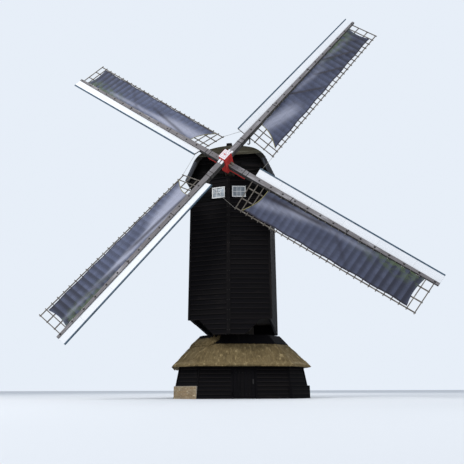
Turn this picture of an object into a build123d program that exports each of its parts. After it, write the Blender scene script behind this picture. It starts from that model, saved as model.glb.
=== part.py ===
from build123d import *
import math
import os

# A post mill: a weatherboarded body that turns on a great post, a closed round-house with a
# thatched roof round the post's trestle, and four cloth-spread sails on an inclined windshaft.
# Millimetres and degrees. Origin on the post's axis at ground level, +Z up, sails towards -Y.

# Base: plan of a square with cut corners, turned about the post
base_turn = 13.0
foot_half = 3330.0
foot_side = 2250.0
wall_lean = 300.0
base_wall_thick = 90.0
base_wall_top = 1520.0
corner_slope = math.tan(math.radians(22.5))

# Door in the base
door_width = 1050.0
door_height = 1400.0
door_gap = 8.0
door_foot_gap = 30.0
door_thick = 40.0
jamb_width = 90.0
strap_thick = 12.0
strap_height = 60.0
strap_length = 820.0
strap_inset = 220.0
pin_radius = 14.0
pin_clear = 0.5
pin_eye_wall = 14.0

# Thatched roof of the base
eave_overhang = 70.0
eave_side_overhang = 50.0
eave_half = foot_half + eave_overhang
eave_side = foot_side + eave_side_overhang
roof_top_half = 1950.0
roof_top_side = 1320.0
roof_top_z = 3050.0
thatch_run = 420.0
collar_foot_z = 2620.0
collar_thick = 60.0
collar_rise = 40.0

# Trestle: brick piers, cross trees, quarter bars and the post
pier_height = 580.0
pier_depth = 900.0
cross_tree = 330.0
tree_end_inset = 495.0
cross_tree_half = (foot_half + foot_side) / math.sqrt(2) - tree_end_inset
quarter_bar = 280.0
bar_foot_inset = 300.0
quarter_bar_foot = cross_tree_half - bar_foot_inset
quarter_bar_top_z = 3250.0
post_square = 720.0
post_radius = 330.0
post_shoulder_z = 3300.0
post_top_z = 6900.0
pintle_radius = 130.0
pintle_height = 160.0
saddle_half = 620.0
saddle_height = 380.0

# Body: its upper parts keep their places round the windshaft
hub_height = 11930.0
body_half = 2000.0
screen_spare = 115.0
screen_half = body_half + screen_spare
body_front = -2900.0
body_rear = 2100.0
front_point = 370.0
front_bottom_z = 3740.0
rear_bottom_z = 3410.0
top_below_hub = 740.0
body_top_z = hub_height - top_below_hub
wall_thick = 90.0
screen_thick = 80.0
apron_bottom_z = 3000.0
apron_half = 800.0
apron_shoulder = 1550.0
floor_top_z = 4050.0
upper_floor_rise = 1700.0
upper_floor_z = post_top_z + upper_floor_rise
floor_thick = 60.0
floor_beam_width = 300.0
floor_beam_height = 290.0
beam_clear = 40.0
crown_width = 560.0
crown_height = 600.0
seat_clear = 0.5
turn_clear = 8.0

# Windows in the two front screens
window_centre_x = 545.0
window_below_top = 770.0
window_centre_z = body_top_z - window_below_top
window_width = 720.0
window_height = 620.0
frame_width = 55.0
frame_proud = 25.0
glass_thick = 6.0

# Cover boards at the front
ridge_board_width = 200.0
ridge_board_thick = 40.0
corner_board_width = 110.0
corner_board_thick = 35.0

# Rear door of the body
rear_door_width = 900.0
rear_door_height = 1850.0
rear_door_thick = 45.0

# Roof of the body
roof_overhang = 430.0
shoulder_inset = 30.0
shoulder_mid_inset = 370.0
crown_inset = 900.0
eave_rise = 140.0
shoulder_rise = 1230.0
shoulder_mid_rise = 1640.0
crown_rise = 1890.0
ridge_rise = 2030.0
roof_half = body_half + roof_overhang
roof_eave_z = body_top_z + eave_rise
shoulder_half = body_half - shoulder_inset
shoulder_z = body_top_z + shoulder_rise
shoulder_mid_half = body_half - shoulder_mid_inset
shoulder_mid_z = body_top_z + shoulder_mid_rise
crown_half = body_half - crown_inset
crown_z = body_top_z + crown_rise
ridge_z = body_top_z + ridge_rise
roof_thick = 90.0
roof_front = -2920.0
roof_rear = 2400.0
gable_thick = 70.0
front_gable_y = -2700.0
fascia_thick = 60.0
fascia_width = 240.0
fascia_band_rise = 230.0
fascia_band_z = shoulder_z + fascia_band_rise
shelf_thick = 60.0

# Windshaft and its bearings
shaft_tilt = 12.9
hub_forward = 4090.0
shaft_radius = 260.0
shaft_tail_radius = 190.0
shaft_tail = 5750.0
shaft_sides = 8
bearing_clear = 0.5
journal_spare = 80.0
journal_step = 30.0
weather_beam_front = -2620.0
weather_beam_depth = 420.0
weather_beam_height = 430.0
neck_block_length = 260.0
neck_block_half = 330.0
tail_beam_width = 300.0
gable_hole_clear = 60.0
bore_reach = 500.0

# Poll end and stocks
stock_gap = 450.0
poll_front = 350.0
poll_back = 820.0
poll_along_outer = 580.0
poll_along_inner = 440.0
poll_chamfer = 40.0
arm_angle = 52.5
stock_half_length = 12000.0
stock_root_width = 300.0
stock_root_depth = 290.0
stock_tip_width = 140.0
stock_tip_depth = 110.0
stock_step = 1300.0
stock_step_drop = 14.0
brace_reach = 1250.0
brace_width = 300.0
brace_thick = 120.0

# Sails: straight bars on a twisted plane, so the laths stay straight too
bar_count = 28
first_bar = 1800.0
last_bar = 11800.0
bar_reach = 1720.0
bar_width = 45.0
bar_thick = 34.0
lath_shares = (0.29, 0.63, 0.95)
lath_width = 60.0
lath_thick = 26.0
lath_bite = 6.0
weather_root = 20.5
weather_tip = 5.0
board_width = 420.0
board_thick = 24.0
lead_lath_width = 70.0
lead_lath_thick = 60.0
rail_bite = 8.0
cloth_start = 2900.0
cloth_horn = 620.0
cloth_thick = 12.0
cloth_clear = 1.4
cloth_edge_share = 0.93
rope_radius = 9.0
cloth_folds = 6
cloth_hem_gap = 20.0

# Tail pole at the rear
tail_pole_width = 280.0
tail_pole_reach = 8200.0
tail_pole_end_z = 900.0
tail_pole_head_y = 1200.0
tail_pole_head_z = 3800.0
cross_beam_width = 260.0


def ring(half, side, z):
    corners = [(-side, -half), (side, -half), (half, -side), (half, side)]
    corners += [(side, half), (-side, half), (-half, side), (-half, -side)]
    return [Vector(x, y, z) for x, y in corners]


def inset(half, side, distance):
    return half - distance, side - distance * corner_slope


def face_of(points):
    return Face(Wire.make_polygon(points, close=True))


def prism_between(lower, upper):
    # a solid with flat sides between two like polygons on parallel planes
    sides = []
    for i in range(len(lower)):
        following = (i + 1) % len(lower)
        sides.append(face_of([lower[i], lower[following], upper[following], upper[i]]))
    return Solid(Shell([face_of(lower[::-1]), face_of(upper), *sides])).fix()


def twisted_between(near, far):
    # a solid whose sides turn evenly from one end section to the other
    return Solid.make_loft([Wire.make_polygon(near, close=True), Wire.make_polygon(far, close=True)], True)


def block(x0, x1, y0, y1, z0, z1):
    return Pos((x0 + x1) / 2, (y0 + y1) / 2, (z0 + z1) / 2) * Box(x1 - x0, y1 - y0, z1 - z0)


def beam(start, end, width, depth, across):
    along = Vector(end) - Vector(start)
    plane = Plane(origin=start, x_dir=across, z_dir=along)
    return extrude(plane * Rectangle(width, depth), along.length)


def base_turned(shape):
    return Rot(0, 0, base_turn) * shape


def wall_outline(z):
    share = z / base_wall_top
    return inset(foot_half, foot_side, wall_lean * share)


def base_panel(index, z0, z1, outer_depth=0.0, inner_depth=base_wall_thick):
    levels = []
    for z in (z0, z1):
        half, side = wall_outline(z)
        outer = ring(*inset(half, side, outer_depth), z)
        inner = ring(*inset(half, side, inner_depth), z)
        following = (index + 1) % len(outer)
        levels.append([outer[index], outer[following], inner[following], inner[index]])
    return prism_between(*levels)


def base_front_wall(sign):
    edge = door_width / 2 + jamb_width
    reach = foot_half
    x0, x1 = (-reach, -edge) if sign < 0 else (edge, reach)
    half_space = block(x0, x1, -2 * foot_half, 0, -1, base_wall_top + 1)
    return base_turned(base_panel(0, 0, base_wall_top) & half_space)


def base_wall(index):
    return base_turned(base_panel(index, 0, base_wall_top))


def base_corner_walls():
    return base_turned(Compound(children=[base_panel(i, pier_height, base_wall_top) for i in (1, 3, 5, 7)]))


def brick_piers():
    piers = []
    for index, head in ((1, 0.0), (3, cross_tree), (5, 0.0), (7, cross_tree)):
        outer = ring(foot_half, foot_side, 0)
        inner = ring(*inset(foot_half, foot_side, pier_depth), 0)
        following = (index + 1) % len(outer)
        foot = [outer[index], outer[following], inner[following], inner[index]]
        pier = extrude(face_of(foot), pier_height, dir=(0, 0, 1))
        if head:
            behind = ring(*inset(foot_half, foot_side, wall_lean + base_wall_thick), pier_height)
            top = [v + Vector(0, 0, pier_height) for v in (inner[following], inner[index])]
            pier += extrude(face_of([behind[index], behind[following], *top]), head, dir=(0, 0, 1))
        piers.append(pier)
    return base_turned(Compound(children=piers))


def cross_tree_beam(angle, z0):
    tree = block(-cross_tree_half, cross_tree_half, -cross_tree / 2, cross_tree / 2, z0, z0 + cross_tree)
    return base_turned(Rot(0, 0, angle) * tree)


def quarter_bars():
    bars = []
    for index, angle in enumerate((-45, 45, 135, 225)):
        foot_z = pier_height + cross_tree * (2 if index % 2 else 1)
        start = Vector(quarter_bar_foot, 0, foot_z)
        end = Vector(0, 0, quarter_bar_top_z)
        bar = beam(start - (end - start) * 0.2, end, quarter_bar, quarter_bar, (0, 1, 0))
        bar &= block(post_square / 2, cross_tree_half, -post_square, post_square, foot_z, post_top_z)
        bars.append(Rot(0, 0, angle) * bar)
    return base_turned(Compound(children=bars))


def main_post():
    foot_z = pier_height + 2 * cross_tree
    square = block(-post_square / 2, post_square / 2, -post_square / 2, post_square / 2, foot_z, post_shoulder_z)
    square = Rot(0, 0, 45) * square
    upper = Pos(0, 0, post_shoulder_z) * Cylinder(
        post_radius, post_top_z - post_shoulder_z, align=(Align.CENTER, Align.CENTER, Align.MIN))
    pintle = Pos(0, 0, post_top_z) * Cylinder(
        pintle_radius, pintle_height, align=(Align.CENTER, Align.CENTER, Align.MIN))
    return base_turned(square + upper + pintle)


def post_saddle():
    frame = block(-saddle_half, saddle_half, -saddle_half, saddle_half, post_shoulder_z, post_shoulder_z + saddle_height)
    hole = Pos(0, 0, post_shoulder_z + saddle_height / 2) * Cylinder(post_radius, saddle_height)
    return base_turned(Rot(0, 0, 45) * frame - hole)


def thatch_roof():
    outer = prism_between(ring(eave_half, eave_side, base_wall_top), ring(roof_top_half, roof_top_side, roof_top_z))
    inner = prism_between(
        ring(*inset(eave_half, eave_side, thatch_run), base_wall_top),
        ring(*inset(roof_top_half, roof_top_side, thatch_run), roof_top_z))
    return base_turned(outer - inner)


def roof_outline(z):
    share = (z - base_wall_top) / (roof_top_z - base_wall_top)
    half = eave_half + (roof_top_half - eave_half) * share
    side = eave_side + (roof_top_side - eave_side) * share
    return half, side


def roof_collar():
    top_z = roof_top_z + collar_rise
    lower = roof_outline(collar_foot_z)
    upper = roof_outline(roof_top_z)
    sloped = prism_between(
        ring(*inset(*lower, -collar_thick), collar_foot_z), ring(*inset(*upper, -collar_thick), roof_top_z))
    sloped -= prism_between(ring(*lower, collar_foot_z), ring(*upper, roof_top_z))
    cap = prism_between(
        ring(*inset(*upper, -collar_thick), roof_top_z), ring(*inset(*upper, -collar_thick / 2), top_z))
    cap -= prism_between(ring(*inset(*upper, thatch_run), roof_top_z), ring(*inset(*upper, thatch_run), top_z))
    return base_turned(sloped + cap)


def door_plane_point(x, z, proud=0.0):
    half, _ = wall_outline(z)
    lean = math.atan2(wall_lean, base_wall_top)
    return Vector(x, -half - proud * math.cos(lean), z + proud * math.sin(lean))


def hinge_x():
    return -door_width / 2


def base_door_frame():
    opening = block(-door_width / 2, door_width / 2, -2 * foot_half, 0, -1, door_height)
    outer = block(-door_width / 2 - jamb_width, door_width / 2 + jamb_width, -2 * foot_half, 0, -1, base_wall_top)
    frame = (base_panel(0, 0, base_wall_top) & outer) - opening
    for z in strap_levels():
        frame += hinge_pin(z)
    return base_turned(frame)


def strap_levels():
    return (strap_inset, door_height - strap_inset)


def pin_centre_proud():
    return pin_radius + pin_clear + pin_eye_wall


def hinge_pin(z):
    proud = pin_centre_proud()
    low = door_plane_point(hinge_x(), z - strap_height / 2 - pin_eye_wall, proud)
    high = door_plane_point(hinge_x(), z + strap_height, proud)
    axis = high - low
    pin = extrude(Plane(origin=low, z_dir=axis) * Circle(pin_radius), axis.length)
    arm_low = door_plane_point(hinge_x() - jamb_width / 2, z - strap_height / 2 - pin_eye_wall, 0)
    plane = Plane(origin=arm_low, x_dir=(1, 0, 0), z_dir=axis)
    arm = plane * Rectangle(jamb_width + 2 * pin_radius, proud * 2 + 2 * pin_radius)
    arm = extrude(arm, pin_eye_wall - 2 * pin_clear)
    wall = base_panel(0, 0, base_wall_top)
    return pin + (arm - wall)


def base_door():
    leaf = base_panel(0, door_foot_gap, door_height - door_gap, 0.0, door_thick)
    sides = block(-door_width / 2 + door_gap, door_width / 2 - door_gap, -2 * foot_half, 0, 0, door_height)
    leaf = leaf & sides
    for z in strap_levels():
        leaf += strap(z)
    return base_turned(leaf)


def strap(z):
    proud = pin_centre_proud()
    low = door_plane_point(hinge_x(), z - strap_height / 2, proud)
    high = door_plane_point(hinge_x(), z + strap_height / 2, proud)
    axis = high - low
    plane = Plane(origin=low, x_dir=(1, 0, 0), z_dir=axis)
    eye_radius = pin_radius + pin_clear + pin_eye_wall
    eye = extrude(plane * Circle(eye_radius - pin_clear), axis.length)
    start = door_plane_point(hinge_x() + strap_length / 2, z - strap_height / 2, strap_thick / 2)
    bar = Plane(origin=start, x_dir=(1, 0, 0), z_dir=axis) * Rectangle(strap_length, strap_thick)
    bar = extrude(bar, axis.length)
    hole = extrude(plane * Circle(pin_radius + pin_clear), axis.length)
    return eye + bar - hole


def crown_tree():
    low = post_top_z + seat_clear
    beam_shape = block(-body_half + wall_thick, body_half - wall_thick, -crown_width / 2, crown_width / 2,
                       low, low + crown_height)
    socket = Pos(0, 0, low) * Cylinder(
        pintle_radius + seat_clear, pintle_height + turn_clear, align=(Align.CENTER, Align.CENTER, Align.MIN))
    return beam_shape - socket


def floor_beam_top():
    return floor_top_z - floor_thick


def floor_beams():
    inner = post_radius + beam_clear
    low = floor_beam_top() - floor_beam_height
    rear = body_rear - wall_thick
    frame = block(-inner, inner, tail_pole_head_y, tail_pole_head_y + cross_beam_width, low, floor_beam_top())
    frame += block(-inner, inner, body_front, body_front + cross_beam_width, low, floor_beam_top())
    for sign in (-1, 1):
        x0, x1 = sorted((sign * inner, sign * (inner + floor_beam_width)))
        frame += block(x0, x1, body_front, rear, low, floor_beam_top())
    return frame


def floor_slab(top_z, hole_radius):
    half = body_half - wall_thick
    slab = block(-half, half, body_front + screen_thick, body_rear - wall_thick, top_z - floor_thick, top_z)
    if hole_radius:
        slab -= Pos(0, 0, top_z - floor_thick / 2) * Cylinder(hole_radius, floor_thick)
    return slab


def side_wall(sign):
    x0, x1 = sorted((sign * body_half, sign * (body_half - wall_thick)))
    outline = [(body_front, front_bottom_z), (body_rear, rear_bottom_z)]
    outline += [(body_rear, roof_eave_z), (body_front, roof_eave_z)]
    wall = extrude(face_of([Vector(x0, y, z) for y, z in outline]), x1 - x0, dir=(1, 0, 0))
    wall -= in_screen(sign, screen_box(), screen_thick)
    upper = block(x0, x1, front_gable_y + gable_thick, body_rear - gable_thick, roof_eave_z, ridge_z)
    return wall + (upper & under_roof(roof_front, roof_rear))


def rear_wall():
    half = body_half - wall_thick
    wall = block(-half, half, body_rear - wall_thick, body_rear, rear_bottom_z, roof_eave_z)
    door = block(-rear_door_width / 2, rear_door_width / 2, body_rear - 2 * wall_thick, body_rear + wall_thick,
                 floor_top_z, floor_top_z + rear_door_height)
    return wall - door - tail_pole()


def rear_door():
    half = rear_door_width / 2 - seat_clear
    return block(-half, half, body_rear - rear_door_thick, body_rear,
                 floor_top_z + seat_clear, floor_top_z + rear_door_height - seat_clear)


def screen_angle():
    return math.degrees(math.atan2(front_point, screen_half))


def screen_plane(sign):
    # x runs from the front ridge towards the corner, y up, z out of the screen
    out = Vector(sign * front_point, -screen_half, 0).normalized()
    along = Vector(sign * screen_half, front_point, 0).normalized()
    return Plane(origin=(0, body_front - front_point, 0), x_dir=along if sign > 0 else along * -1, z_dir=out)


def screen_outline():
    stretch = 1 / math.cos(math.radians(screen_angle()))
    points = [(0, apron_bottom_z), (apron_half, apron_bottom_z), (apron_shoulder, front_bottom_z)]
    points += [(screen_half, front_bottom_z), (screen_half, body_top_z), (0, body_top_z)]
    return [(x * stretch, z) for x, z in points]


def screen_box():
    reach = 2 * screen_half
    return [(0, apron_bottom_z), (reach, apron_bottom_z), (reach, ridge_z), (0, ridge_z)]


def in_screen(sign, points, depth, start=0.0):
    # a plate on the screen's plane, from start behind its face to depth further in
    plane = screen_plane(sign).offset(-start)
    flat = Polyline(*[(sign * x, z) for x, z in points], close=True)
    return extrude(plane * make_face(flat), -depth)


def window_box(sign, grow=0.0):
    stretch = 1 / math.cos(math.radians(screen_angle()))
    x, z = window_centre_x * stretch, window_centre_z
    w, h = window_width / 2 + grow, window_height / 2 + grow
    return [(x - w, z - h), (x + w, z - h), (x + w, z + h), (x - w, z + h)]


def front_wall(sign):
    wall = in_screen(sign, screen_outline(), screen_thick)
    wall -= in_screen(sign, window_box(sign), 3 * screen_thick, -screen_thick)
    half_space = block(0, 2 * screen_half, 2 * body_front, 0, 0, 2 * body_top_z)
    if sign < 0:
        half_space = mirror(half_space, Plane.YZ)
    return wall & half_space


def window_frames():
    frames = []
    for sign in (-1, 1):
        outer = in_screen(sign, window_box(sign), screen_thick + frame_proud, -frame_proud)
        inner = in_screen(sign, window_box(sign, -frame_width), 3 * screen_thick, -screen_thick)
        frames.append(outer - inner)
    return Compound(children=frames)


def window_glass():
    panes = [in_screen(s, window_box(s, -frame_width), glass_thick, screen_thick / 4) for s in (-1, 1)]
    return Compound(children=panes)


def front_cover_boards():
    stretch = 1 / math.cos(math.radians(screen_angle()))
    width = ridge_board_width / 2 * stretch
    edge = screen_half * stretch
    ridge = None
    corners = []
    for sign in (-1, 1):
        strip = [(0, apron_bottom_z), (width, apron_bottom_z), (width, body_top_z), (0, body_top_z)]
        half_space = block(0, 2 * screen_half, 2 * body_front, 0, 0, 2 * body_top_z)
        if sign < 0:
            half_space = mirror(half_space, Plane.YZ)
        piece = in_screen(sign, strip, ridge_board_thick, -ridge_board_thick)
        tip = Pos(0, body_front - front_point, 0) * block(
            -ridge_board_thick / 2, ridge_board_thick / 2, -ridge_board_thick, 0, apron_bottom_z, body_top_z)
        piece = (piece & half_space)
        ridge = piece if ridge is None else ridge + piece
        if sign > 0:
            ridge += tip - in_screen(1, screen_outline(), screen_thick) - in_screen(-1, screen_outline(), screen_thick)
        low = edge - corner_board_width
        strip = [(low, front_bottom_z), (edge, front_bottom_z), (edge, body_top_z), (low, body_top_z)]
        corners.append(in_screen(sign, strip, corner_board_thick, -corner_board_thick))
    return Compound(children=[ridge, *corners])


def front_shelf():
    overhang = ridge_board_thick + frame_proud
    inner = body_half - wall_thick
    points = [(-screen_half, body_front - overhang), (0, body_front - front_point - overhang),
              (screen_half, body_front - overhang), (screen_half, body_front)]
    points += [(inner, body_front), (inner, weather_beam_front), (-inner, weather_beam_front)]
    points += [(-inner, body_front), (-screen_half, body_front)]
    face = face_of([Vector(x, y, body_top_z) for x, y in points])
    return extrude(face, shelf_thick, dir=(0, 0, 1)) - side_wall(-1) - side_wall(1)


def shaft_z(y):
    return hub_height - (y + hub_forward) * math.tan(math.radians(shaft_tilt))


def shaft_plane(back=0.0):
    # origin on the shaft's axis, z forward along it, x to the right seen from the front
    tilt = math.radians(shaft_tilt)
    forward = Vector(0, -math.cos(tilt), math.sin(tilt))
    origin = Vector(0, -hub_forward, hub_height) - forward * back
    return Plane(origin=origin, x_dir=(1, 0, 0), z_dir=forward)


def shaft_bore(radius):
    return extrude(shaft_plane(shaft_tail + bore_reach) * Circle(radius), shaft_tail + 2 * bore_reach)


def weather_beam_top():
    y = weather_beam_front + weather_beam_depth / 2
    return shaft_z(y) - neck_block_half


def weather_beam():
    top = weather_beam_top()
    half = body_half - wall_thick
    return block(-half, half, weather_beam_front, weather_beam_front + weather_beam_depth,
                 top - weather_beam_height, top)


def neck_bearing():
    y = weather_beam_front + weather_beam_depth / 2
    block_shape = block(-neck_block_half, neck_block_half, y - neck_block_length / 2, y + neck_block_length / 2,
                        weather_beam_top(), shaft_z(y))
    return block_shape - shaft_bore(neck_radius() + bearing_clear)


def neck_radius():
    return shaft_radius - journal_step


def tail_bearing_y():
    return -hub_forward + shaft_tail * math.cos(math.radians(shaft_tilt)) - tail_beam_width


def tail_beam():
    y = tail_bearing_y()
    half = body_half - wall_thick
    z = shaft_z(y)
    shape = block(-half, half, y - tail_beam_width / 2, y + tail_beam_width / 2,
                  z - shaft_tail_radius - tail_beam_width, z)
    return shape - shaft_bore(tail_radius() + bearing_clear)


def tail_radius():
    return shaft_tail_radius - journal_step


def roof_profile(shrink, y):
    # half the roof's outline, mirrored, on a vertical plane across the mill
    def at(x, z):
        return Vector(x, y, z)
    eave = at(roof_half - shrink, roof_eave_z)
    shoulder = at(shoulder_half - shrink, shoulder_z - shrink / 2)
    middle = at(shoulder_mid_half - shrink * 0.8, shoulder_mid_z - shrink * 0.8)
    crown = at(crown_half - shrink / 2, crown_z - shrink)
    ridge = at(0, ridge_z - shrink)
    flip = [Vector(-v.X, v.Y, v.Z) for v in (eave, shoulder, middle, crown)]
    edges = [Edge.make_line(eave, shoulder), Edge.make_three_point_arc(shoulder, middle, crown),
             Edge.make_three_point_arc(crown, ridge, flip[3]),
             Edge.make_three_point_arc(flip[3], flip[2], flip[1]), Edge.make_line(flip[1], flip[0]),
             Edge.make_line(flip[0], eave)]
    return Face(Wire(edges))


def roof():
    length = roof_rear - roof_front
    outer = extrude(roof_profile(0, roof_front), length, dir=(0, 1, 0))
    return outer - under_roof(roof_front, roof_rear)


def under_roof(y0, y1):
    return extrude(roof_profile(roof_thick, y0), y1 - y0, dir=(0, 1, 0))


def front_gable():
    y1 = front_gable_y + gable_thick
    half = body_half - wall_thick
    foot = block(-half, half, front_gable_y, y1, body_top_z + shelf_thick, roof_eave_z)
    return under_roof(front_gable_y, y1) + foot - shaft_bore(shaft_radius + gable_hole_clear)


def rear_gable():
    return under_roof(body_rear - gable_thick, body_rear)


def front_fascia():
    plate = extrude(roof_profile(0, roof_front - fascia_thick), fascia_thick, dir=(0, 1, 0))
    opening = extrude(roof_profile(fascia_width, roof_front - fascia_thick), fascia_thick, dir=(0, 1, 0))
    below = block(-roof_half, roof_half, 2 * roof_front, 0, 0, fascia_band_z)
    return plate - (opening & below)


def shaft_stretch(back_from, back_to, radius, sides=0):
    # one length of the windshaft, between two distances behind the hub
    outline = RegularPolygon(radius, sides) if sides else Circle(radius)
    return extrude(shaft_plane(back_to) * outline, back_to - back_from)


def windshaft():
    # an octagonal timber, turned round where it runs in its two bearings
    cos_tilt = math.cos(math.radians(shaft_tilt))
    back_neck = (weather_beam_front + weather_beam_depth / 2 + hub_forward) / cos_tilt
    back_tail = (tail_bearing_y() + hub_forward) / cos_tilt
    half_neck = neck_block_length / 2 + journal_spare
    half_tail = tail_beam_width / 2 + journal_spare
    shape = shaft_stretch(poll_back, back_neck - half_neck, shaft_radius, shaft_sides)
    shape += shaft_stretch(back_neck - half_neck, back_neck + half_neck, neck_radius())
    shape += shaft_stretch(back_neck + half_neck, back_tail - half_tail, shaft_radius, shaft_sides)
    return shape + shaft_stretch(back_tail - half_tail, shaft_tail, tail_radius())


def arm_location(angle, back):
    return shaft_plane(back).location * Rot(0, 0, angle)


def stock_width(r):
    r = abs(r)
    if r <= stock_step:
        return stock_root_width
    share = (r - stock_step) / (stock_half_length - stock_step)
    return stock_root_width - stock_step_drop + share * (stock_tip_width - stock_root_width + stock_step_drop)


def stock_depth(r):
    share = max(0.0, (abs(r) - stock_step) / (stock_half_length - stock_step))
    return stock_root_depth + share * (stock_tip_depth - stock_root_depth)


def section(r, width, depth):
    corners = [(-1, -1), (1, -1), (1, 1), (-1, 1)]
    return [Vector(r, a * width / 2, b * depth / 2) for a, b in corners]


def stock_flat():
    middle = block(-stock_step, stock_step, -stock_root_width / 2, stock_root_width / 2,
                   -stock_root_depth / 2, stock_root_depth / 2)
    shape = middle
    root = stock_root_width - stock_step_drop
    for sign in (-1, 1):
        near = section(sign * stock_step, root, stock_root_depth)
        far = section(sign * stock_half_length, stock_tip_width, stock_tip_depth)
        shape += prism_between(near, far)
    return shape


def outer_stock():
    return arm_location(arm_angle, 0) * stock_flat()


def inner_stock():
    return arm_location(arm_angle + 90, stock_gap) * stock_flat()


def stock_braces():
    # short timbers bolted to the back of the inner stock, against both sides of the poll end
    rear = -stock_root_depth / 2
    start = poll_along_inner / 2
    bars = []
    for turn in (90, 270):
        bar = block(start, brace_reach, -brace_width / 2, brace_width / 2, rear - brace_thick, rear)
        bars.append(arm_location(arm_angle + turn, stock_gap) * bar)
    return Compound(children=bars)


def poll_end():
    plane = shaft_plane(poll_back)
    length = poll_back + poll_front
    box = Pos(0, 0, length / 2) * Box(poll_along_outer, poll_along_inner, length)
    box = chamfer(box.edges().filter_by(Axis.Z), poll_chamfer)
    body = plane.location * Rot(0, 0, arm_angle) * box
    return body - outer_stock() - inner_stock()


def weather(r):
    # slope of the sail's plane at r: the bars lean back by this for each unit towards the trailing side
    root = math.tan(math.radians(weather_root))
    tip = math.tan(math.radians(weather_tip))
    return root + (tip - root) * (r - first_bar) / (last_bar - first_bar)


def bar_stations():
    pitch = (last_bar - first_bar) / (bar_count - 1)
    return [first_bar + i * pitch for i in range(bar_count)]


def sail_point(r, y, front=0.0):
    slope = weather(r)
    tip = 1 / math.hypot(1, slope)
    return Vector(r, y - front * slope * tip, y * slope + front * tip)


def sail_bar(r):
    root = sail_point(r, 0)
    tip = sail_point(r, -bar_reach)
    return beam(root, tip, bar_width, bar_thick, (1, 0, 0))


def sail_lath(share, back):
    y = -bar_reach * share
    start = sail_point(first_bar - bar_width, y, -back)
    end = sail_point(last_bar + bar_width, y, -back)
    mean_slope = (weather(first_bar) + weather(last_bar)) / 2
    return beam(start, end, lath_width, lath_thick, (0, 1, mean_slope))


def sail_lattice(angle, back):
    laths = [sail_lath(share, (bar_thick + lath_thick) / 2 - lath_bite) for share in lath_shares]
    shape = laths[0].fuse(*laths[1:], *[sail_bar(r) for r in bar_stations()])
    shape -= stock_flat()
    return arm_location(angle, back) * shape


def plate_section(r, y0, y1, front, thick):
    return [sail_point(r, y0, front), sail_point(r, y1, front),
            sail_point(r, y1, front + thick), sail_point(r, y0, front + thick)]


def leading_board():
    sections = []
    rail = []
    for r in (first_bar, stock_half_length):
        y0 = stock_width(r) / 2
        sections.append(plate_section(r, y0, y0 + board_width, -board_thick / 2, board_thick))
        rail.append(sail_point(r, y0 + board_width + lead_lath_width / 2 - rail_bite))
    board = twisted_between(*sections) - stock_flat()
    mean_slope = (weather(first_bar) + weather(last_bar)) / 2
    return board + beam(*rail, lead_lath_width, lead_lath_thick, (0, 1, mean_slope))


def leading_boards():
    board = leading_board()
    return Compound(children=[arm_location(angle, back) * board for angle, back in arms()])


def arms():
    return [(arm_angle, 0.0), (arm_angle + 90, stock_gap), (arm_angle + 180, 0.0), (arm_angle + 270, stock_gap)]


def cloth_end():
    stations = bar_stations()
    return stations[-2]


def folded_between(sections):
    # a solid of flat triangles through like sections, bulging to the front where it twists
    faces = []
    for end in (sections[0][::-1], sections[-1]):
        faces += [face_of([end[0], end[1], end[2]]), face_of([end[0], end[2], end[3]])]
    for near, far in zip(sections, sections[1:]):
        for i in range(len(near)):
            following = (i + 1) % len(near)
            corners = [near[i], near[following], far[following], far[i]]
            if i < 2:
                faces += [face_of([corners[0], corners[1], corners[2]]), face_of([corners[0], corners[2], corners[3]])]
            else:
                faces += [face_of([corners[0], corners[1], corners[3]]), face_of([corners[1], corners[2], corners[3]])]
    return Solid(Shell(faces)).fix()


def sail_cloth(angle, back):
    front = bar_thick / 2 + cloth_clear
    y1 = -bar_reach * cloth_edge_share
    twist = (weather(first_bar) - weather(last_bar)) / (last_bar - first_bar)
    sections = []
    for i in range(cloth_folds + 1):
        share = i / cloth_folds
        hem = cloth_start + share * (cloth_end() - cloth_start)
        leech = hem - (1 - share) * cloth_horn
        y0 = -stock_width(hem) / 2 - cloth_hem_gap
        # a slanting edge cuts across the twist, so it is held off the bars by as much
        rear = front + twist * (hem - leech) * (y0 - y1) / 4
        section = [sail_point(hem, y0, rear), sail_point(leech, y1, rear)]
        section += [sail_point(leech, y1, rear + cloth_thick), sail_point(hem, y0, rear + cloth_thick)]
        sections.append(section)
    return arm_location(angle, back) * folded_between(sections)


def sail_ropes():
    # from the inner corner of each lattice to the inner end of the next arm's leading board
    shapes = []
    lead_y = stock_width(first_bar) / 2 + board_width / 2
    for i, (angle, back) in enumerate(arms()):
        next_angle, next_back = arms()[i - 1]
        corner = Location(sail_point(first_bar, -bar_reach + bar_width))
        board_end = Location(sail_point(first_bar + bar_width, lead_y))
        start = (arm_location(angle, back) * corner).position
        end = (arm_location(next_angle, next_back) * board_end).position
        rope = extrude(Plane(origin=start, z_dir=end - start) * RegularPolygon(rope_radius, 6), (end - start).length)
        rope -= sail_lattice(angle, back)
        board = arm_location(next_angle, next_back) * leading_board()
        shapes.append(longest(rope - board))
    return Compound(children=shapes)


def longest(shape):
    return max(shape.solids(), key=lambda solid: solid.volume)


def tail_pole():
    start = Vector(0, tail_pole_head_y, tail_pole_head_z)
    end = Vector(0, tail_pole_reach, tail_pole_end_z)
    pole = beam(start, end, tail_pole_width, tail_pole_width, (1, 0, 0))
    return longest(pole - floor_beams() - floor_slab(floor_top_z, 0))


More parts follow.
